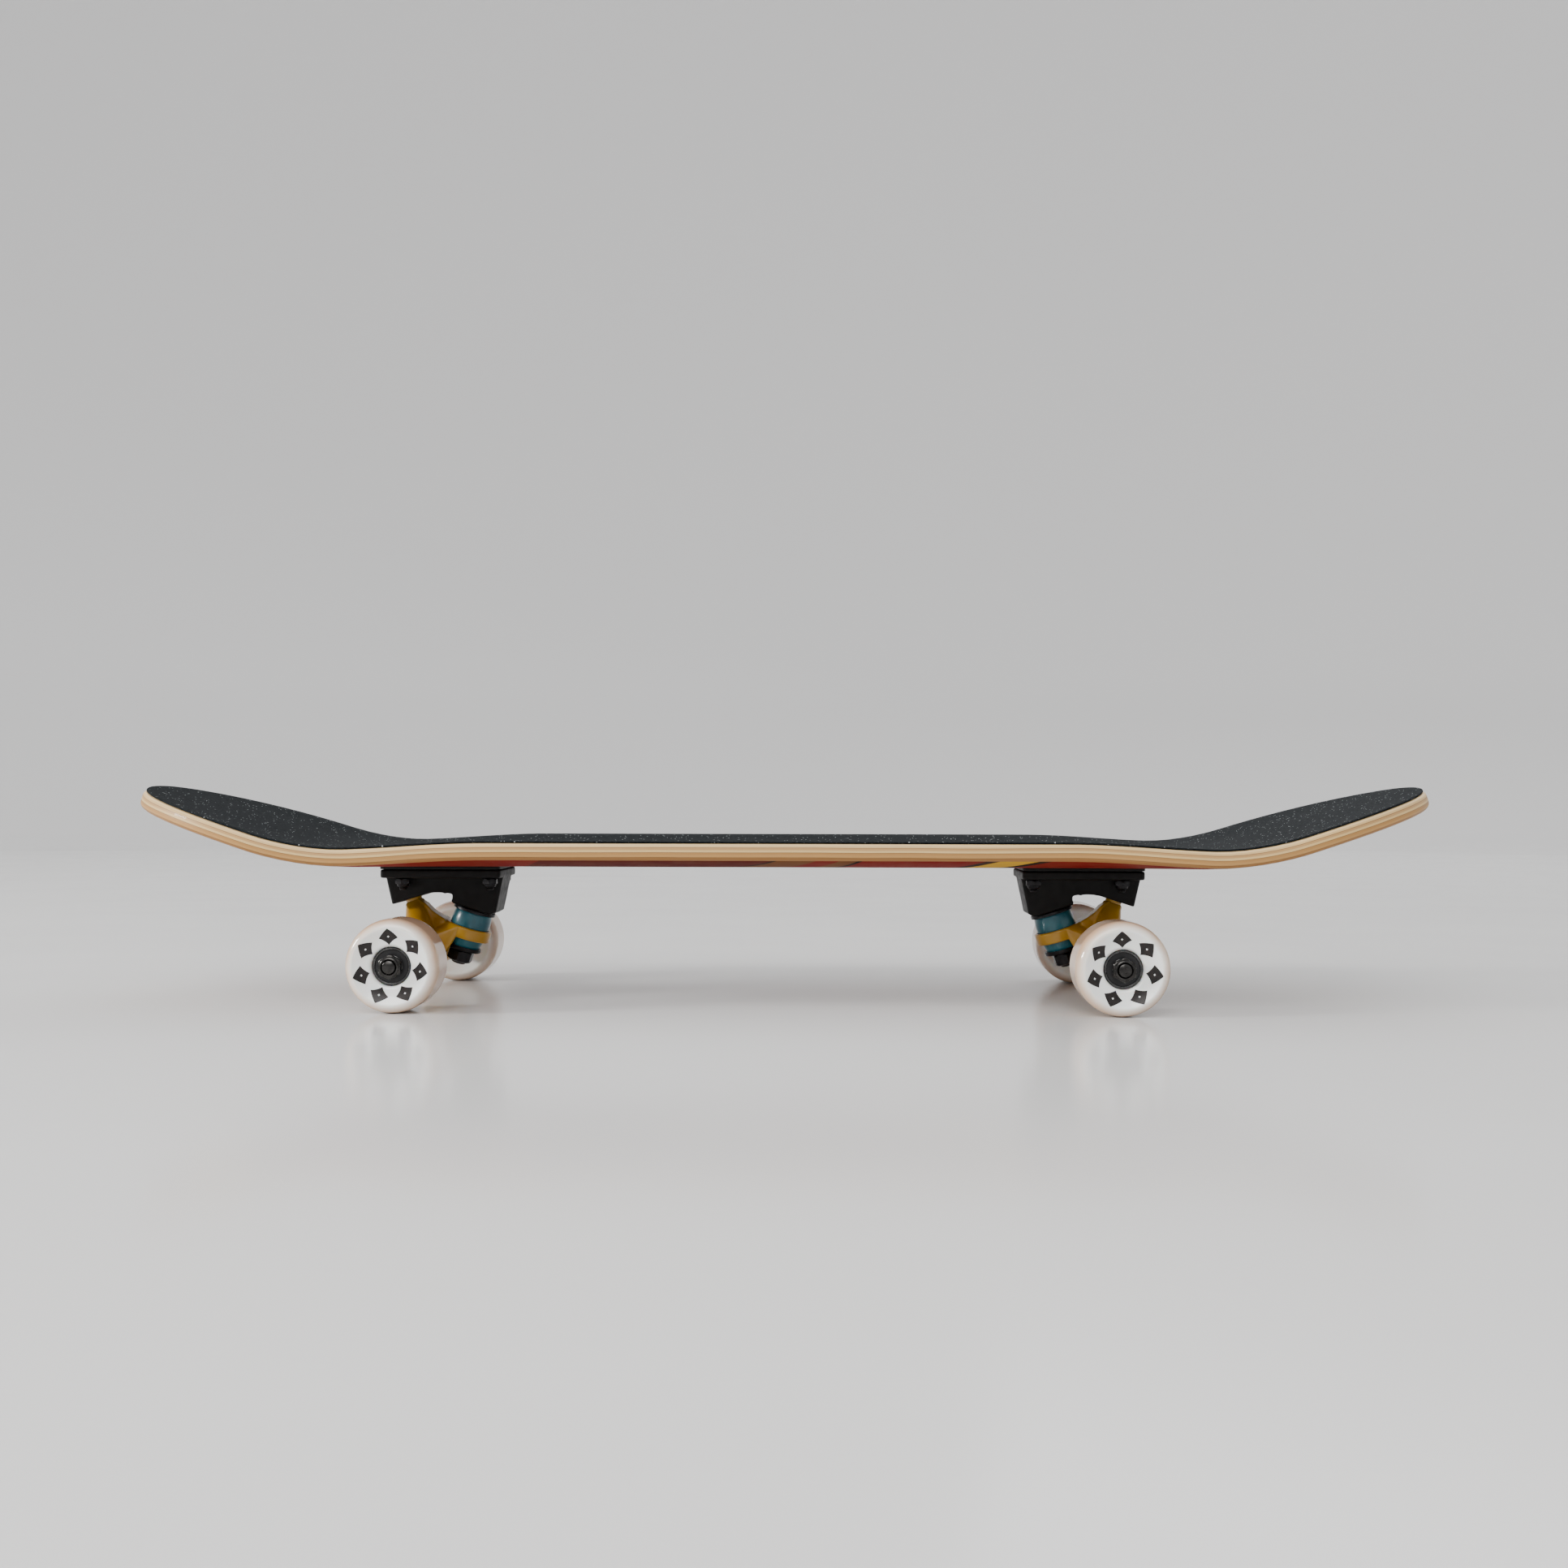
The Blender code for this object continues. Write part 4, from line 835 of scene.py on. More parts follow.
LOWER_BUSHING = 0.0062
LOWER_BUSHING_END = 0.0096
WASHER_LIP = 0.0012
KINGPIN_NUT_HEIGHT = 0.0074
KINGPIN_END = 0.0015
KINGPIN_HEAD_FLATS = 0.0143
KINGPIN_HEAD_DEPTH = 0.0030
KINGPIN_HEAD_SINK = 0.0045
KINGPIN_HEAD_HEIGHT = 0.0020
KINGPIN_PLAIN = 0.002
KINGPIN_NUT = (KINGPIN_HEAD_FLATS, KINGPIN_RADIUS + 0.0001, KINGPIN_NUT_HEIGHT, 0.0012)
UPPER_LIP = 0.0009
LOWER_LIP = 0.0013
THREAD_PITCH = 0.00106
THREAD_DEPTH = 0.00045
HEX_STEPS = 72


def six_flats(flats, cap=1.0):
    """The reach of a hexagon with this distance across its flats, at an angle, but no further than cap."""
    def reach(angle):
        off_corner = (angle + math.pi / 6) % (math.pi / 3) - math.pi / 6
        return min(flats / 2 / math.cos(off_corner), cap)
    return reach


def nut(name, flats, bore, height, chamfer, collar=0.0, collar_height=0.0):
    """A hexagon nut that stands on z = 0, chamfered at both ends, with a round collar on top."""
    low = flats / math.sqrt(3) - chamfer * 1.6
    eased = six_flats(flats, low + chamfer * 0.8)
    sides = six_flats(flats)
    top = height + collar_height
    rings = [(bore + 0.0006, 0.0), (low, 0.0), (eased, chamfer * 0.45), (sides, chamfer)]
    rings += [(sides, height - chamfer), (eased, height - chamfer * 0.45), (low, height)]
    if collar:
        rings += [(collar, height), (collar, height + collar_height * 0.6)]
        rings += [(collar - 0.0004, height + collar_height * 0.9), (collar - 0.0010, top)]
    rings += [(bore + 0.0006, top), (bore, top - 0.0006), (bore, 0.0006)]
    return lathe(name, rings, HEX_STEPS, bored=True)


def threaded(radius, start, end, pitch, depth):
    """Rings of a thread from start to end along z, with a chamfered tip."""
    turns = max(1, round(abs(end - start) / pitch))
    rings = []
    for turn in range(turns):
        rings.append((radius, start + (end - start) * turn / turns))
        rings.append((radius - depth, start + (end - start) * (turn + 0.5) / turns))
    return rings + [(radius - depth, end), (radius - 2.5 * depth, end + math.copysign(depth, end - start))]


black_steel, shader = finish("black_oxide_steel", (0.016, 0.016, 0.018), 0.34, metallic=0.75)
mottle(black_steel, shader, (0.011, 0.011, 0.012), (0.022, 0.022, 0.024), 300.0)
sheen(black_steel, shader, 500.0, 0.28, 0.44)
roughen(black_steel, shader, 1600.0, 0.00003, 0.5)


def cup_washer(name, radius, lip, way):
    """A pressed cup washer whose floor's inner face is at z = 0. Its lip points to way, 1 up or -1 down."""
    inside = radius - WASHER_LIP
    floor = -way * WASHER_THICKNESS
    rings = [(HOLE_RADIUS, 0), (HOLE_RADIUS, floor), (radius - 0.0008, floor), (radius - 0.0002, floor * 0.7)]
    rings += [(radius, floor * 0.2), (radius, way * lip), (radius - 0.0003, way * (lip + 0.0001))]
    rings += [(inside, way * lip), (inside, way * 0.0003), (inside - 0.0003, 0)]
    return lathe(name, rings, 96, bored=True)


upper_top = RING_HALF + UPPER_BUSHING
lower_end = -RING_HALF - LOWER_BUSHING
lower_cup_at = lower_end - FIT_GAP
nut_at = lower_cup_at - WASHER_THICKNESS - FIT_GAP - KINGPIN_NUT_HEIGHT
upper_cup_radius = BUSHING_RADIUS + WASHER_LIP
lower_cup_radius = LOWER_BUSHING_END + 2 * FIT_GAP + WASHER_LIP
head = six_flats(KINGPIN_HEAD_FLATS)
head_base = (TRUCK_HEIGHT - KINGPIN_HEAD_DEPTH - RING_Z) / math.cos(KINGPIN_TILT) - KINGPIN_HEAD_SINK
shank = [(head, head_base + KINGPIN_HEAD_HEIGHT), (head, head_base), (KINGPIN_RADIUS, head_base)]
tip = nut_at - KINGPIN_END + THREAD_DEPTH
shank += threaded(KINGPIN_RADIUS, -KINGPIN_PLAIN, tip, THREAD_PITCH, THREAD_DEPTH)
for end, truck in trucks.items():
    for piece, at, mesh in (
        ("kingpin", 0.0, lathe("kingpin", shank, HEX_STEPS)),
        ("upper_cup_washer", upper_top + FIT_GAP, cup_washer("upper", upper_cup_radius, UPPER_LIP, -1)),
        ("lower_cup_washer", lower_cup_at, cup_washer("lower", lower_cup_radius, LOWER_LIP, 1)),
        ("kingpin_nut", nut_at, nut("nut", *KINGPIN_NUT)),
    ):
        place = truck @ kingpin_slope @ Matrix.Translation((0, 0, at))
        made = show(f"{end}_{piece}", moved(mesh, place), black_steel)
        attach(made, "board")
        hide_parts(f"{end}_{piece}")

# ---------------------------------------------------------------- bushings
# Two rings of teal cast urethane on each kingpin, a barrel above the hanger's ring and a shorter, tapered one
# below. They are the truck's springs.

SEAT_DEPTH = 0.0012
LOWER_BUSHING_TOP = 0.0110
BUSHING_EDGE = 0.0006
SIDE_RINGS = 14
UPPER_TAPER = 0.0006
UPPER_BULGE = 0.0004
LOWER_BULGE = 0.0002
UPPER_HELD = 0.0010  # how much of a bushing's end stays still in its cup washer
LOWER_HELD = 0.0012
urethane, shader = finish("teal_urethane", (0.012, 0.125, 0.165), 0.30, Coat_Weight=0.15)
shader.inputs["Subsurface Weight"].default_value = 0.25
shader.inputs["Subsurface Scale"].default_value = 0.003
shader.inputs["Subsurface Radius"].default_value = (0.2, 0.7, 1.0)
mottle(urethane, shader, (0.010, 0.105, 0.145), (0.016, 0.150, 0.190), 120.0)
roughen(urethane, shader, 500.0, 0.00008, 0.3)


def bushing(name, ring_radius, washer_radius, ring_end, washer_end, bulge):
    """A bushing from the ring to its washer, with eased rims and sides that swell under load."""
    edge = math.copysign(BUSHING_EDGE, washer_end - ring_end)
    rings = [(HOLE_RADIUS, ring_end), (ring_radius - BUSHING_EDGE, ring_end), (ring_radius, ring_end + edge)]
    for step in range(1, SIDE_RINGS):
        t = step / SIDE_RINGS
        radius = ring_radius + (washer_radius - ring_radius) * t + bulge * 4 * t * (1 - t)
        rings.append((radius, ring_end + (washer_end - ring_end) * (0.08 + 0.84 * t)))
    rings += [(washer_radius - BUSHING_EDGE / 2, washer_end - edge / 2)]
    rings += [(washer_radius - BUSHING_EDGE, washer_end), (HOLE_RADIUS, washer_end)]
    return lathe(name, rings, 96, bored=True)


seat_level = RING_HALF - SEAT_DEPTH + FIT_GAP
BUSHINGS = {
    "upper": (BUSHING_RADIUS, BUSHING_RADIUS - UPPER_TAPER, seat_level, upper_top, UPPER_BULGE),
    "lower": (LOWER_BUSHING_TOP, LOWER_BUSHING_END, -seat_level, lower_end, LOWER_BULGE),
}
for end, truck in trucks.items():
    slope = truck @ kingpin_slope
    for place, ring_end, washer_end in (
        ("upper", RING_HALF, upper_top - UPPER_HELD),
        ("lower", -RING_HALF, lower_end + LOWER_HELD),
    ):
        mesh = bushing(f"{end}_{place}_bushing", *BUSHINGS[place])
        made = show(f"{end}_{place}_bushing", moved(mesh, slope), urethane, 50)
        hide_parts(f"{end}_{place}_bushing")
        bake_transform(made)

# ---------------------------------------------------------------- hangers
# Each hanger is one aluminium casting: two round arms that hold the axle, a post with a ball end that turns
# in the pivot cup, and a ring clamped between the bushings. It is painted mustard.

HANGER_HALF = 0.0697
HANGER_END_RADIUS = 0.0087
HANGER_MIDDLE_RADIUS = 0.0095
HANGER_SHOULDER = 0.032
ARM_END = 0.012
ARM_EDGE = 0.0007
POST_COLLAR = 0.0062
COLLAR_TOP = 0.0054
TOWER_ROOT = ((0.0012, 0.0054), (-0.0022, 0.0056))  # level over the post's foot, and radius
PIVOT_POST = 0.0090
RING_RADIUS = 0.0143
RING_EDGE = 0.0006
RING_BORE = 0.0080
SEAT_CLEARANCE = 0.0005
YOKE_RADIUS = 0.0144
AXLE_RADIUS = 0.00395
WEB_SECTIONS = (  # x, z and half width of the rib between the post and the ring
    (-0.0085, 0.0335, 0.0052),
    (-0.0030, 0.0300, 0.0054),
    (0.0012, 0.0256, 0.0056),
    (0.0055, 0.0228, 0.0064),
    (0.0100, 0.0204, 0.0084),
)
ROUND = [2 * math.pi * step / 24 for step in range(24)]
YOKE_BACK = [math.pi + step * math.radians(10.5) for step in range(-7, 8)]
YOKE_HALF = 0.0160
YOKE_DROP = 0.0016
YOKE_TRIM = 0.0004
WEB_FOOT = HANGER_MIDDLE_RADIUS * 0.9
across_truck = Matrix.Rotation(math.pi / 2, 4, "X")


def around_axle(radius, half_width):
    """Points of a round section about the axle, at both ends of a width."""
    return [(radius * math.cos(a), y, radius * math.sin(a)) for y in (-half_width, half_width) for a in ROUND]


def round_end(radius, height, edge):
    """Rings down from a round face at this height, over its eased edge."""
    return [(radius - edge, height), (radius - edge * 0.3, height - edge * 0.3), (radius, height - edge)]


def upside_down(rings):
    return [(radius, -height) for radius, height in reversed(rings)]


def around_slope(slope, level, radius, angles):
    """Points round a tilted axis, at a level along it."""
    points = []
    for angle in angles:
        x, z = on_slope(slope, level, radius * math.cos(angle))
        points.append((x, radius * math.sin(angle), z))
    return points


def hanger_solids():
    """The overlapping solids that one hanger is cast from."""
    half = round_end(HANGER_END_RADIUS, HANGER_HALF, ARM_EDGE)
    half += [(HANGER_END_RADIUS, HANGER_HALF - ARM_END), (HANGER_MIDDLE_RADIUS, HANGER_SHOULDER)]
    arms = lathe("arms", half + upside_down(half))
    root = []
    for lift, radius in TOWER_ROOT:
        root += around_slope(pivot_slope, lift - PIVOT_POST, radius, ROUND)
    tower = hull("tower", root + around_axle(HANGER_MIDDLE_RADIUS, HANGER_SHOULDER))
    back = []
    for level in (-RING_HALF - YOKE_DROP, RING_HALF - YOKE_TRIM):
        back += around_slope(kingpin_slope, level, YOKE_RADIUS, YOKE_BACK)
    yoke = hull("yoke", back + around_axle(HANGER_MIDDLE_RADIUS, YOKE_HALF))
    solids = [moved(arms, across_truck), tower, yoke]
    for (x0, z0, w0), (x1, z1, w1) in zip(WEB_SECTIONS, WEB_SECTIONS[1:]):
        knee = [(x, side * w, z) for x, z, w in ((x0, z0, w0), (x1, z1, w1)) for side in (-1, 1)]
        solids.append(hull("web", knee + around_axle(WEB_FOOT, 0.5 * (w0 + w1))))
    rim = round_end(RING_RADIUS, RING_HALF, RING_EDGE)
    ring = lathe("ring", rim + upside_down(rim), 96)
    solids.append(moved(ring, kingpin_slope))
    foot = -PIVOT_POST
    collar = [(POST_COLLAR, foot - 0.003), (POST_COLLAR, foot), (COLLAR_TOP, foot + 0.001)]
    solids.append(moved(lathe("collar", collar, 48), pivot_slope))
    return solids


mustard, shader = finish("mustard_coat", (0.47, 0.25, 0.004), 0.34, Coat_Weight=0.25, Coat_Roughness=0.25)
mottle(mustard, shader, (0.42, 0.215, 0.003), (0.51, 0.275, 0.006), 70.0)
sheen(mustard, shader, 240.0, 0.28, 0.42)
roughen(mustard, shader, 700.0, 0.00012, 0.45)
WASHER_SWING = 0.0023
WASHER_STEP = 0.0012
NUT_CLEARANCE = 0.0030
NUT_SWING_OUT = 0.0024
HANGER_VOXEL = 0.0006
POST_DEPTH = PIVOT_POST + 0.002
swing_radius = lower_cup_radius + WASHER_SWING
washer_level = lower_cup_at - WASHER_THICKNESS - 3 * FIT_GAP
nut_swing = KINGPIN_HEAD_FLATS / math.sqrt(3) + NUT_CLEARANCE
clearance = [  # room for the bushings, the lower cup washer and the nut as the hanger swings
    (BUSHING_RADIUS + SEAT_CLEARANCE, RING_HALF + UPPER_BUSHING),
    (BUSHING_RADIUS + SEAT_CLEARANCE, RING_HALF - SEAT_DEPTH),
    (RING_BORE, RING_HALF - SEAT_DEPTH),
    (RING_BORE, -RING_HALF + SEAT_DEPTH),
    (LOWER_BUSHING_TOP + SEAT_CLEARANCE, -RING_HALF + SEAT_DEPTH),
    (LOWER_BUSHING_TOP + SEAT_CLEARANCE, -RING_HALF),
    (swing_radius, -RING_HALF),
    (swing_radius, washer_level),
    (nut_swing, washer_level - WASHER_STEP),
    (nut_swing + NUT_SWING_OUT, -3 * KINGPIN_NUT_HEIGHT),
]
post = dome(PIVOT_BALL_RADIUS) + [(PIVOT_BALL_RADIUS, -POST_DEPTH)]
AXLE_BORE = AXLE_RADIUS + FIT_GAP
for end, truck in trucks.items():
    casting = cast(f"{end}_hanger", hanger_solids(), HANGER_VOXEL)
    bore = moved(lathe("bore", [(AXLE_BORE, -WIDE_CUT), (AXLE_BORE, WIDE_CUT)], 48), across_truck)
    casting = cut(casting, [moved(lathe("clearance", clearance, 96), kingpin_slope), bore])
    casting = gather(f"{end}_hanger", [casting, moved(lathe("post", post, 48), pivot_slope)])
    hanger = show(f"{end}_hanger", moved(casting, truck), mustard, 42)
    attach(hanger, f"{end}_hanger")
    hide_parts(f"{end}_hanger")

# ---------------------------------------------------------------- axles
# One rod of hardened steel runs through each hanger from wheel to wheel. It is turned, black nickelled, and
# threaded at both ends for the axle nuts.

AXLE_THREAD = 0.011
AXLE_THREAD_DEPTH = 0.0003
dark_chrome, shader = finish("black_nickel_steel", (0.045, 0.044, 0.042), 0.20, metallic=1.0)
mottle(dark_chrome, shader, (0.030, 0.029, 0.028), (0.062, 0.060, 0.058), 260.0)
sheen(dark_chrome, shader, 700.0, 0.14, 0.30)
roughen(dark_chrome, shader, 1500.0, 0.00002, 0.4)
for end, truck in trucks.items():
    low, high = box_of(f"{end}_axle")
    reach = (high.y - low.y) / 2
    tip = reach - AXLE_THREAD_DEPTH
    half = threaded(AXLE_RADIUS, reach - AXLE_THREAD, tip, THREAD_PITCH, AXLE_THREAD_DEPTH)
    axle_mesh = lathe("axle", upside_down(half) + half, 48)
    axle = show(f"{end}_axle", moved(axle_mesh, truck @ across_truck), dark_chrome)
    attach(axle, f"{end}_hanger")
    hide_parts(f"{end}_axle")

# ---------------------------------------------------------------- bearings, spacers and speed washers
# Two 22 mm ball bearings sit in each wheel, closed by black pressed shields, with a steel spacer between
# their inner races and a thin washer outside each of them.

BEARING_RADIUS = 0.0110
BEARING_HALF = 0.0035
BEARING_FACE = 0.0120
SHIELD_INSIDE = 0.0061
SHIELD_OUTSIDE = 0.0097
SHIELD_LEVEL = 0.0031
SPACER_WALL = 0.0014
SPEED_WASHER = 0.0009
SPEED_WASHER_RADIUS = 0.0056
SPEED_WASHER_GAP = 0.0001
race_steel, shader = finish("ground_steel", (0.08, 0.08, 0.08), 0.24, metallic=1.0)
mottle(race_steel, shader, (0.055, 0.055, 0.055), (0.105, 0.105, 0.105), 300.0)
sheen(race_steel, shader, 800.0, 0.18, 0.34)
shield_black, shader = finish("black_shield", (0.008, 0.008, 0.009), 0.42, Specular_IOR_Level=0.4)
roughen(shield_black, shader, 1200.0, 0.00004, 0.4)
race_face = [
    (BEARING_RADIUS, 0.0032), (0.0107, BEARING_HALF), (0.0098, BEARING_HALF), (0.0096, 0.0034),
    (0.0096, 0.0029), (0.0094, 0.0027), (0.0064, 0.0027), (0.0062, 0.0029), (0.0062, 0.0034),
    (0.0060, BEARING_HALF), (AXLE_BORE + 0.0003, BEARING_HALF), (AXLE_BORE, 0.0032),
]


def tube(name, radius, near, far, steps):
    """A plain ring on the axle, from near to far."""
    rings = [(AXLE_BORE, near), (radius, near), (radius, far), (AXLE_BORE, far)]
    return lathe(name, rings, steps, bored=True)


wheels = {}
for end in headings:
    for side in ("left", "right"):
        low, high = box_of(f"{end}_{side}_wheel")
        middle = (low + high) / 2
        outwards = -math.copysign(math.pi / 2, middle.y)
        wheels[f"{end}_{side}"] = Matrix.Translation(middle) @ Matrix.Rotation(outwards, 4, "X")
for name, hub in wheels.items():
    end = name.split("_")[0]
    for place, at in (("outer", BEARING_FACE - BEARING_HALF), ("inner", BEARING_HALF - BEARING_FACE)):
        mesh = lathe(f"{name}_{place}_bearing", race_face + upside_down(race_face), 96, bored=True)
        for face in mesh.polygons:
            reach = math.hypot(face.center.x, face.center.y)
            if SHIELD_INSIDE < reach < SHIELD_OUTSIDE and abs(face.center.z) < SHIELD_LEVEL:
                face.material_index = 1
        mesh = moved(mesh, hub @ Matrix.Translation((0, 0, at)))
        bearing = show(f"{name}_{place}_bearing", mesh, [race_steel, shield_black])
        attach(bearing, f"{name}_wheel")
        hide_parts(f"{name}_{place}_bearing")
        washer_at = at + math.copysign(BEARING_HALF + SPEED_WASHER_GAP, at)
        far = washer_at + math.copysign(SPEED_WASHER, at)
        washer = tube("speed_washer", SPEED_WASHER_RADIUS, washer_at, far, 64)
        washer = show(f"{name}_{place}_speed_washer", moved(washer, hub), race_steel)
        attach(washer, f"{end}_hanger")
    reach = BEARING_FACE - 2 * BEARING_HALF - FIT_GAP
    spacer = tube("spacer", AXLE_BORE + SPACER_WALL, -reach, reach, 48)
    spacer = show(f"{name}_spacer", moved(spacer, hub), race_steel)
    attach(spacer, f"{name}_wheel")
    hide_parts(f"{name}_spacer")

# ---------------------------------------------------------------- wheels
# Each wheel is cast in one pour of hard white urethane, turned to size on the tread and polished. Its face
# dishes in from a rounded lip to the bearing seat, and its colour turns a darker warm tan towards the tread,
# partly the urethane's own tone and partly painted shade.

WHEEL_RADIUS = 0.027
WHEEL_HALF = 0.016
TREAD_HALF = 0.0082
LIP_RADIUS = 0.0218
DISH_RADIUS = 0.0132
DISH_DEPTH = 0.0024
DISH_BOW = 1.6
DISH_STEPS = 12
LIP_FULLNESS = 0.92
LIP_STEPS = 18
SEAT_RADIUS = BEARING_RADIUS + FIT_GAP
CORE_RADIUS = 0.0093
CORE_HALF = 0.0047
WARM_FROM = 0.0212
WARM_TO = 0.0266


def face_height(radius):
    """Height of the wheel's face over its middle, between the hub and the lip."""
    share = min(1.0, max(0.0, (radius - DISH_RADIUS) / (LIP_RADIUS - DISH_RADIUS)))
    return WHEEL_HALF - DISH_DEPTH * (1 - share**DISH_BOW)


wheel_side = [(WHEEL_RADIUS, step * TREAD_HALF / 4) for step in range(1, 5)]
for step in range(1, LIP_STEPS + 1):
    angle = step * math.pi / 2 / LIP_STEPS
    reach = LIP_RADIUS + (WHEEL_RADIUS - LIP_RADIUS) * math.cos(angle) ** LIP_FULLNESS
    wheel_side.append((reach, TREAD_HALF + (WHEEL_HALF - TREAD_HALF) * math.sin(angle)))
for step in range(1, DISH_STEPS + 1):
    reach = LIP_RADIUS + (DISH_RADIUS - LIP_RADIUS) * step / DISH_STEPS
    wheel_side.append((reach, face_height(reach)))
for radius, drop in ((0.0127, 0.0001), (0.0119, 0.0005), (0.0115, 0.0010), (SEAT_RADIUS, 0.0014)):
    wheel_side.append((radius, WHEEL_HALF - DISH_DEPTH - drop))
wheel_side += [(SEAT_RADIUS, CORE_HALF), (CORE_RADIUS, CORE_HALF)]
wheel_rings = wheel_side[::-1] + [(WHEEL_RADIUS, 0.0)] + upside_down(wheel_side[::-1])

wheel_white, shader = finish(
    "white_cast_urethane", (0.80, 0.80, 0.76), 0.13, Coat_Weight=0.5, Coat_Roughness=0.05
)
shader.inputs["Subsurface Weight"].default_value = 0.30
shader.inputs["Subsurface Scale"].default_value = 0.004
shader.inputs["Subsurface Radius"].default_value = (1.0, 0.62, 0.38)
from_axle, _, _ = kept_point(wheel_white, "ring_place")
# the darker tan towards the tread is partly the urethane's own tone and partly painted shade
tread_tone_and_shade = node(wheel_white, "ShaderNodeMapRange", from_axle, WARM_FROM, WARM_TO, 0.0, 1.0)
cloud = spread(wheel_white, speckle(wheel_white, 45.0, 3.0), -0.12, 0.12)
tread_tone_and_shade = node(wheel_white, "ShaderNodeMath", tread_tone_and_shade, cloud, operation="ADD", use_clamp=True)
tint = blend_colours(wheel_white, tread_tone_and_shade, (0.90, 0.91, 0.88), (0.60, 0.41, 0.27))
join(wheel_white, tint, shader, "Base Color")
sheen(wheel_white, shader, 120.0, 0.10, 0.18)
roughen(wheel_white, shader, 60.0, 0.00010, 0.12)
for name, hub in wheels.items():
    mesh = lathe(f"{name}_wheel", wheel_rings, 128, bored=True)
    layer = mesh.attributes.new("ring_place", "FLOAT_VECTOR", "POINT")
    for vertex in mesh.vertices:
        layer.data[vertex.index].vector = (math.hypot(vertex.co.x, vertex.co.y), vertex.co.z, 0)
    wheel = show(f"{name}_wheel", moved(mesh, hub), wheel_white, 30)
    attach(wheel, f"{name}_wheel")
    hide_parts(f"{name}_wheel")

# ---------------------------------------------------------------- marks on the wheels
# Seven four-pointed stars round each wheel's outer face. They are black ink, pad printed on the urethane in
# a layer a few hundredths of a millimetre thick.

MARKS = 7
FIRST_MARK = math.radians(94)
MARK_RADIUS = 0.0172
MARK_REACH = 0.0048
MARK_SPAN = 0.0056
MARK_POWER = 2.1
MARK_HOLE = 0.13
INK_HEIGHT = 0.00004
INK_DEPTH = 0.00008
MARK_BANDS = 7
MARK_STEPS = 48
ink, shader = finish("printing_ink", (0.008, 0.007, 0.007), 0.3, Specular_IOR_Level=0.3)
mottle(ink, shader, (0.008, 0.007, 0.007), (0.020, 0.015, 0.014), 400.0)
roughen(ink, shader, 900.0, 0.00002, 0.3)


def star(turn):
    """One star as a thin closed layer that follows the face, at a place round the wheel."""
    shape = bmesh.new()
    layers = []
    for lift in (INK_HEIGHT, -INK_DEPTH):
        loops = []
        for band in range(MARK_BANDS + 1):
            size = MARK_HOLE + (1 - MARK_HOLE) * band / MARK_BANDS
            loop = []
            for step in range(MARK_STEPS):
                angle = 2 * math.pi * step / MARK_STEPS
                out, along = math.cos(angle), math.sin(angle)
                reach = MARK_RADIUS + math.copysign(abs(out) ** MARK_POWER, out) * MARK_REACH * size
                place = turn + math.copysign(abs(along) ** MARK_POWER, along) * MARK_SPAN * size / MARK_RADIUS
                spot = (reach * math.cos(place), reach * math.sin(place), face_height(reach) + lift)
                loop.append(shape.verts.new(spot))
            loops.append(loop)
        layers.append(loops)
    top, bottom = layers
    order = top + bottom[::-1]
    for near, far in zip(order, order[1:] + order[:1]):
        stitch(shape, near, far)
    bmesh.ops.recalc_face_normals(shape, faces=shape.faces)
    return to_mesh("star", shape)


for name, hub in wheels.items():
    stars = [star(FIRST_MARK + 2 * math.pi * mark / MARKS) for mark in range(MARKS)]
    marks = show(f"{name}_marks", moved(gather(f"{name}_marks", stars), hub), ink)
    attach(marks, f"{name}_wheel")

# ---------------------------------------------------------------- axle nuts
# Black nickelled lock nuts: a chamfered hexagon with a domed collar that grips the thread.

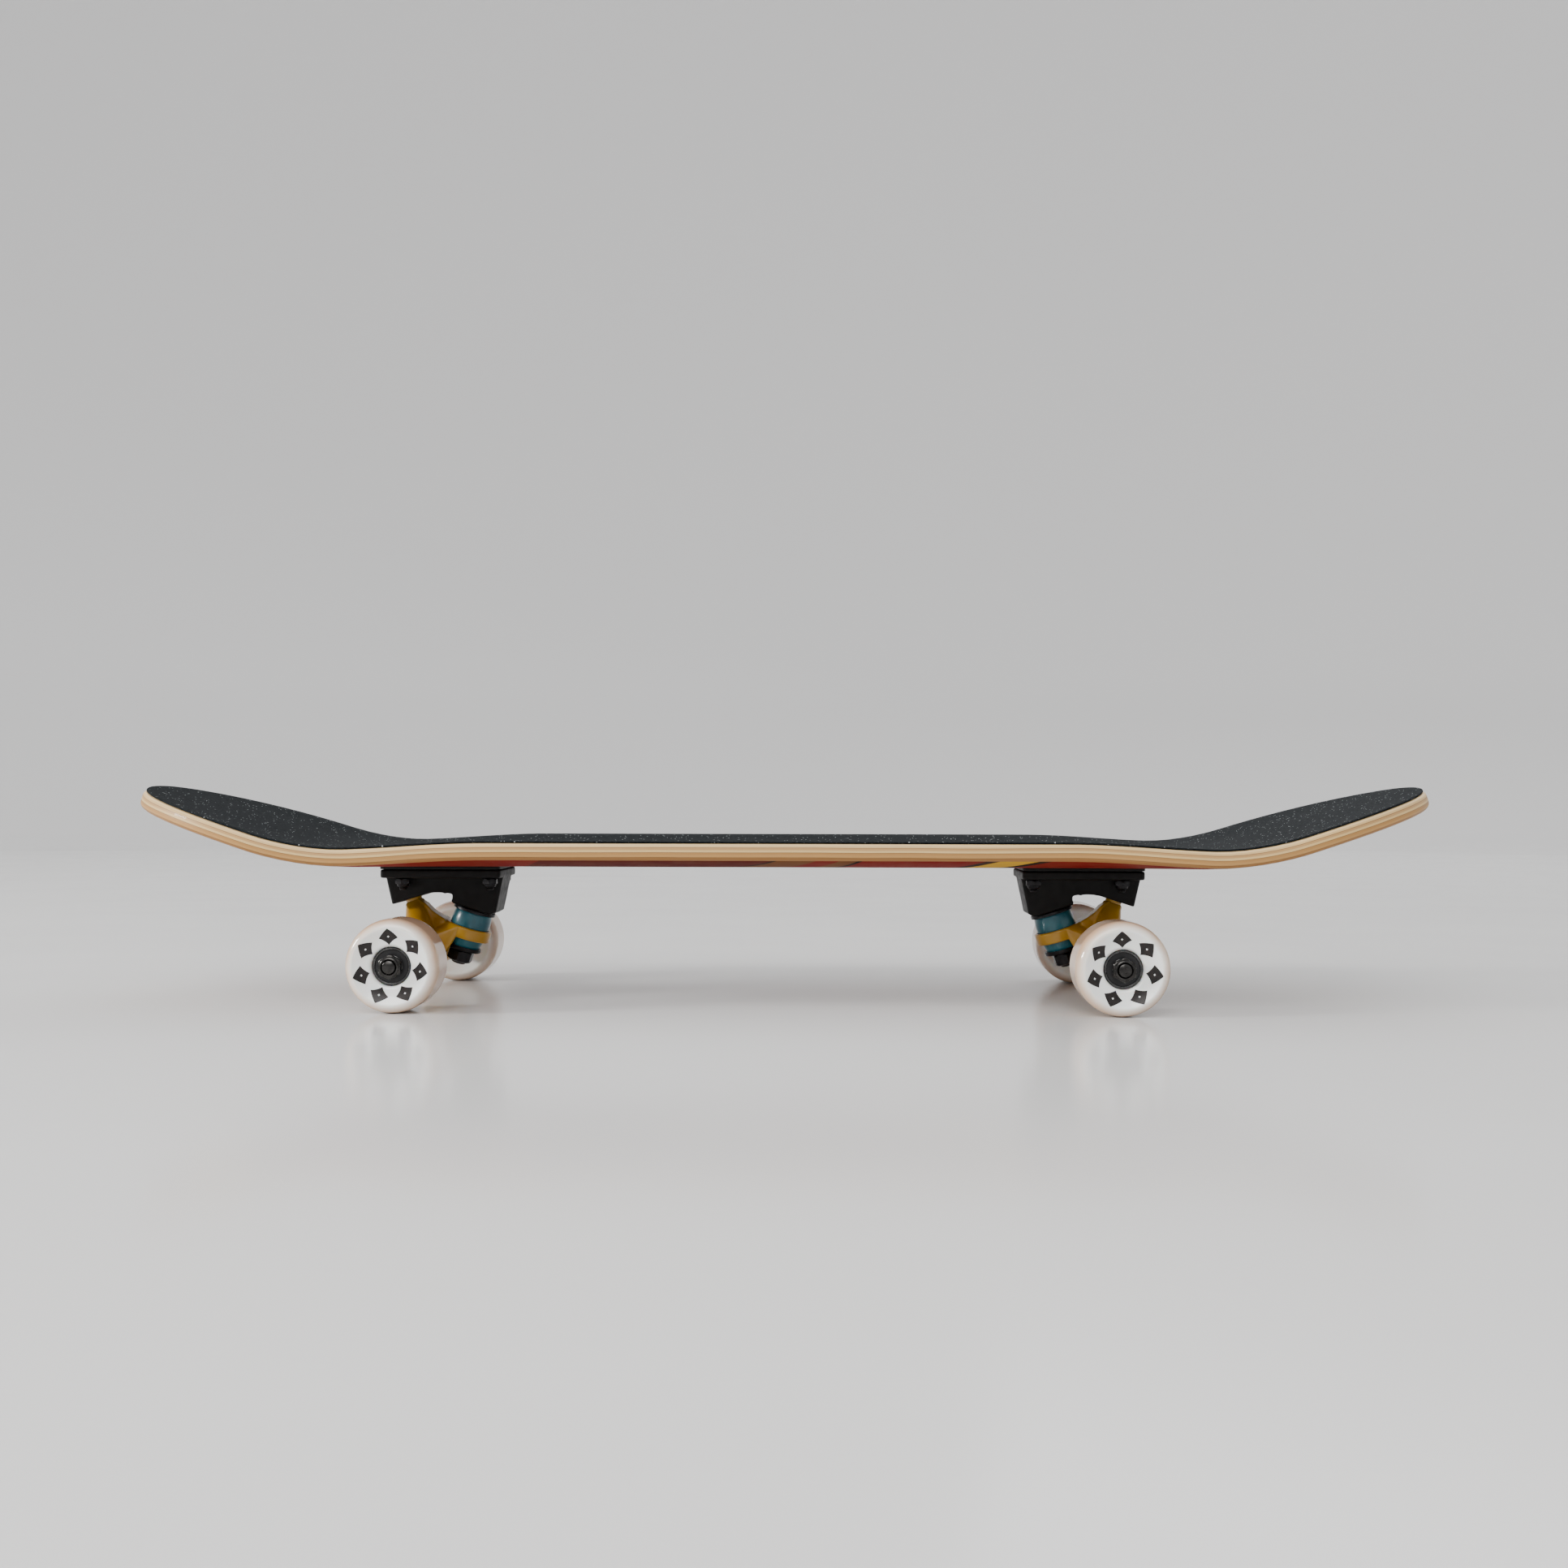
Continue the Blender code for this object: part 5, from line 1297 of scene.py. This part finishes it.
AXLE_NUT_FLATS = 0.0127
AXLE_NUT_HEIGHT = 0.0048
NUT_COLLAR = 0.0056
NUT_COLLAR_HEIGHT = 0.0011
NUT_CHAMFER = 0.0007
AXLE_NUT_GAP = 0.0013
for name, hub in wheels.items():
    end = name.split("_")[0]
    hexagon = AXLE_NUT_HEIGHT - NUT_COLLAR_HEIGHT
    mesh = nut("axle_nut", AXLE_NUT_FLATS, AXLE_RADIUS, hexagon, NUT_CHAMFER, NUT_COLLAR, NUT_COLLAR_HEIGHT)
    at = hub @ Matrix.Translation((0, 0, BEARING_FACE + AXLE_NUT_GAP))
    axle_nut = show(f"{name}_axle_nut", moved(mesh, at), dark_chrome)
    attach(axle_nut, f"{end}_hanger")
    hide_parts(f"{name}_axle_nut")

# ---------------------------------------------------------------- mounting bolts and lock nuts
# Eight countersunk bolts of blackened steel with hexagon sockets, pulled down into the tape, and a lock nut
# with a nylon collar under the baseplate's flange on each.

BOLT_HEAD_HEIGHT = 0.0026
BOLT_EDGE = 0.0002
BOLT_SHANK = 0.017
BOLT_PITCH = 0.0008
BOLT_THREAD_DEPTH = 0.00028
SOCKET_FLATS = 0.0032
SOCKET_DEPTH = 0.0018
LOCK_NUT_FLATS = 0.0086
LOCK_COLLAR = 0.0036
COLLAR_SHARE = 0.32
for name, (x, y, bottom, top) in bolt_places.items():
    drop = top - bottom
    socket = six_flats(SOCKET_FLATS)
    rings = [(0.00002, -SOCKET_DEPTH - 0.0004), (socket, -SOCKET_DEPTH), (socket, -BOLT_EDGE)]
    rings += [(SOCKET_FLATS * 0.62, 0.0), (BOLT_HEAD_RADIUS - 0.0003, 0.0), (BOLT_HEAD_RADIUS, -BOLT_EDGE)]
    rings += [(BOLT_HEAD_RADIUS, -2 * BOLT_EDGE), (BOLT_RADIUS, -BOLT_HEAD_HEIGHT)]
    rings += threaded(BOLT_RADIUS, -BOLT_SHANK, -drop + 0.0003, BOLT_PITCH, BOLT_THREAD_DEPTH)
    bolt = show(name, moved(lathe(name, rings, 48), Matrix.Translation((x, y, top))), black_steel, 28)
    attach(bolt, "board")
    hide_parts(name)
    nut_name = name.replace("bolt_", "lock_nut_")
    low, high = box_of(nut_name)
    height = high.z - low.z
    collar = height * COLLAR_SHARE
    mesh = nut(nut_name, LOCK_NUT_FLATS, BOLT_RADIUS, height - collar, 0.0006, LOCK_COLLAR, collar)
    flip = Matrix.Translation((x, y, high.z)) @ Matrix.Rotation(math.pi, 4, "X")
    lock_nut = show(nut_name, moved(mesh, flip), black_steel)
    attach(lock_nut, "board")
    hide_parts(nut_name)
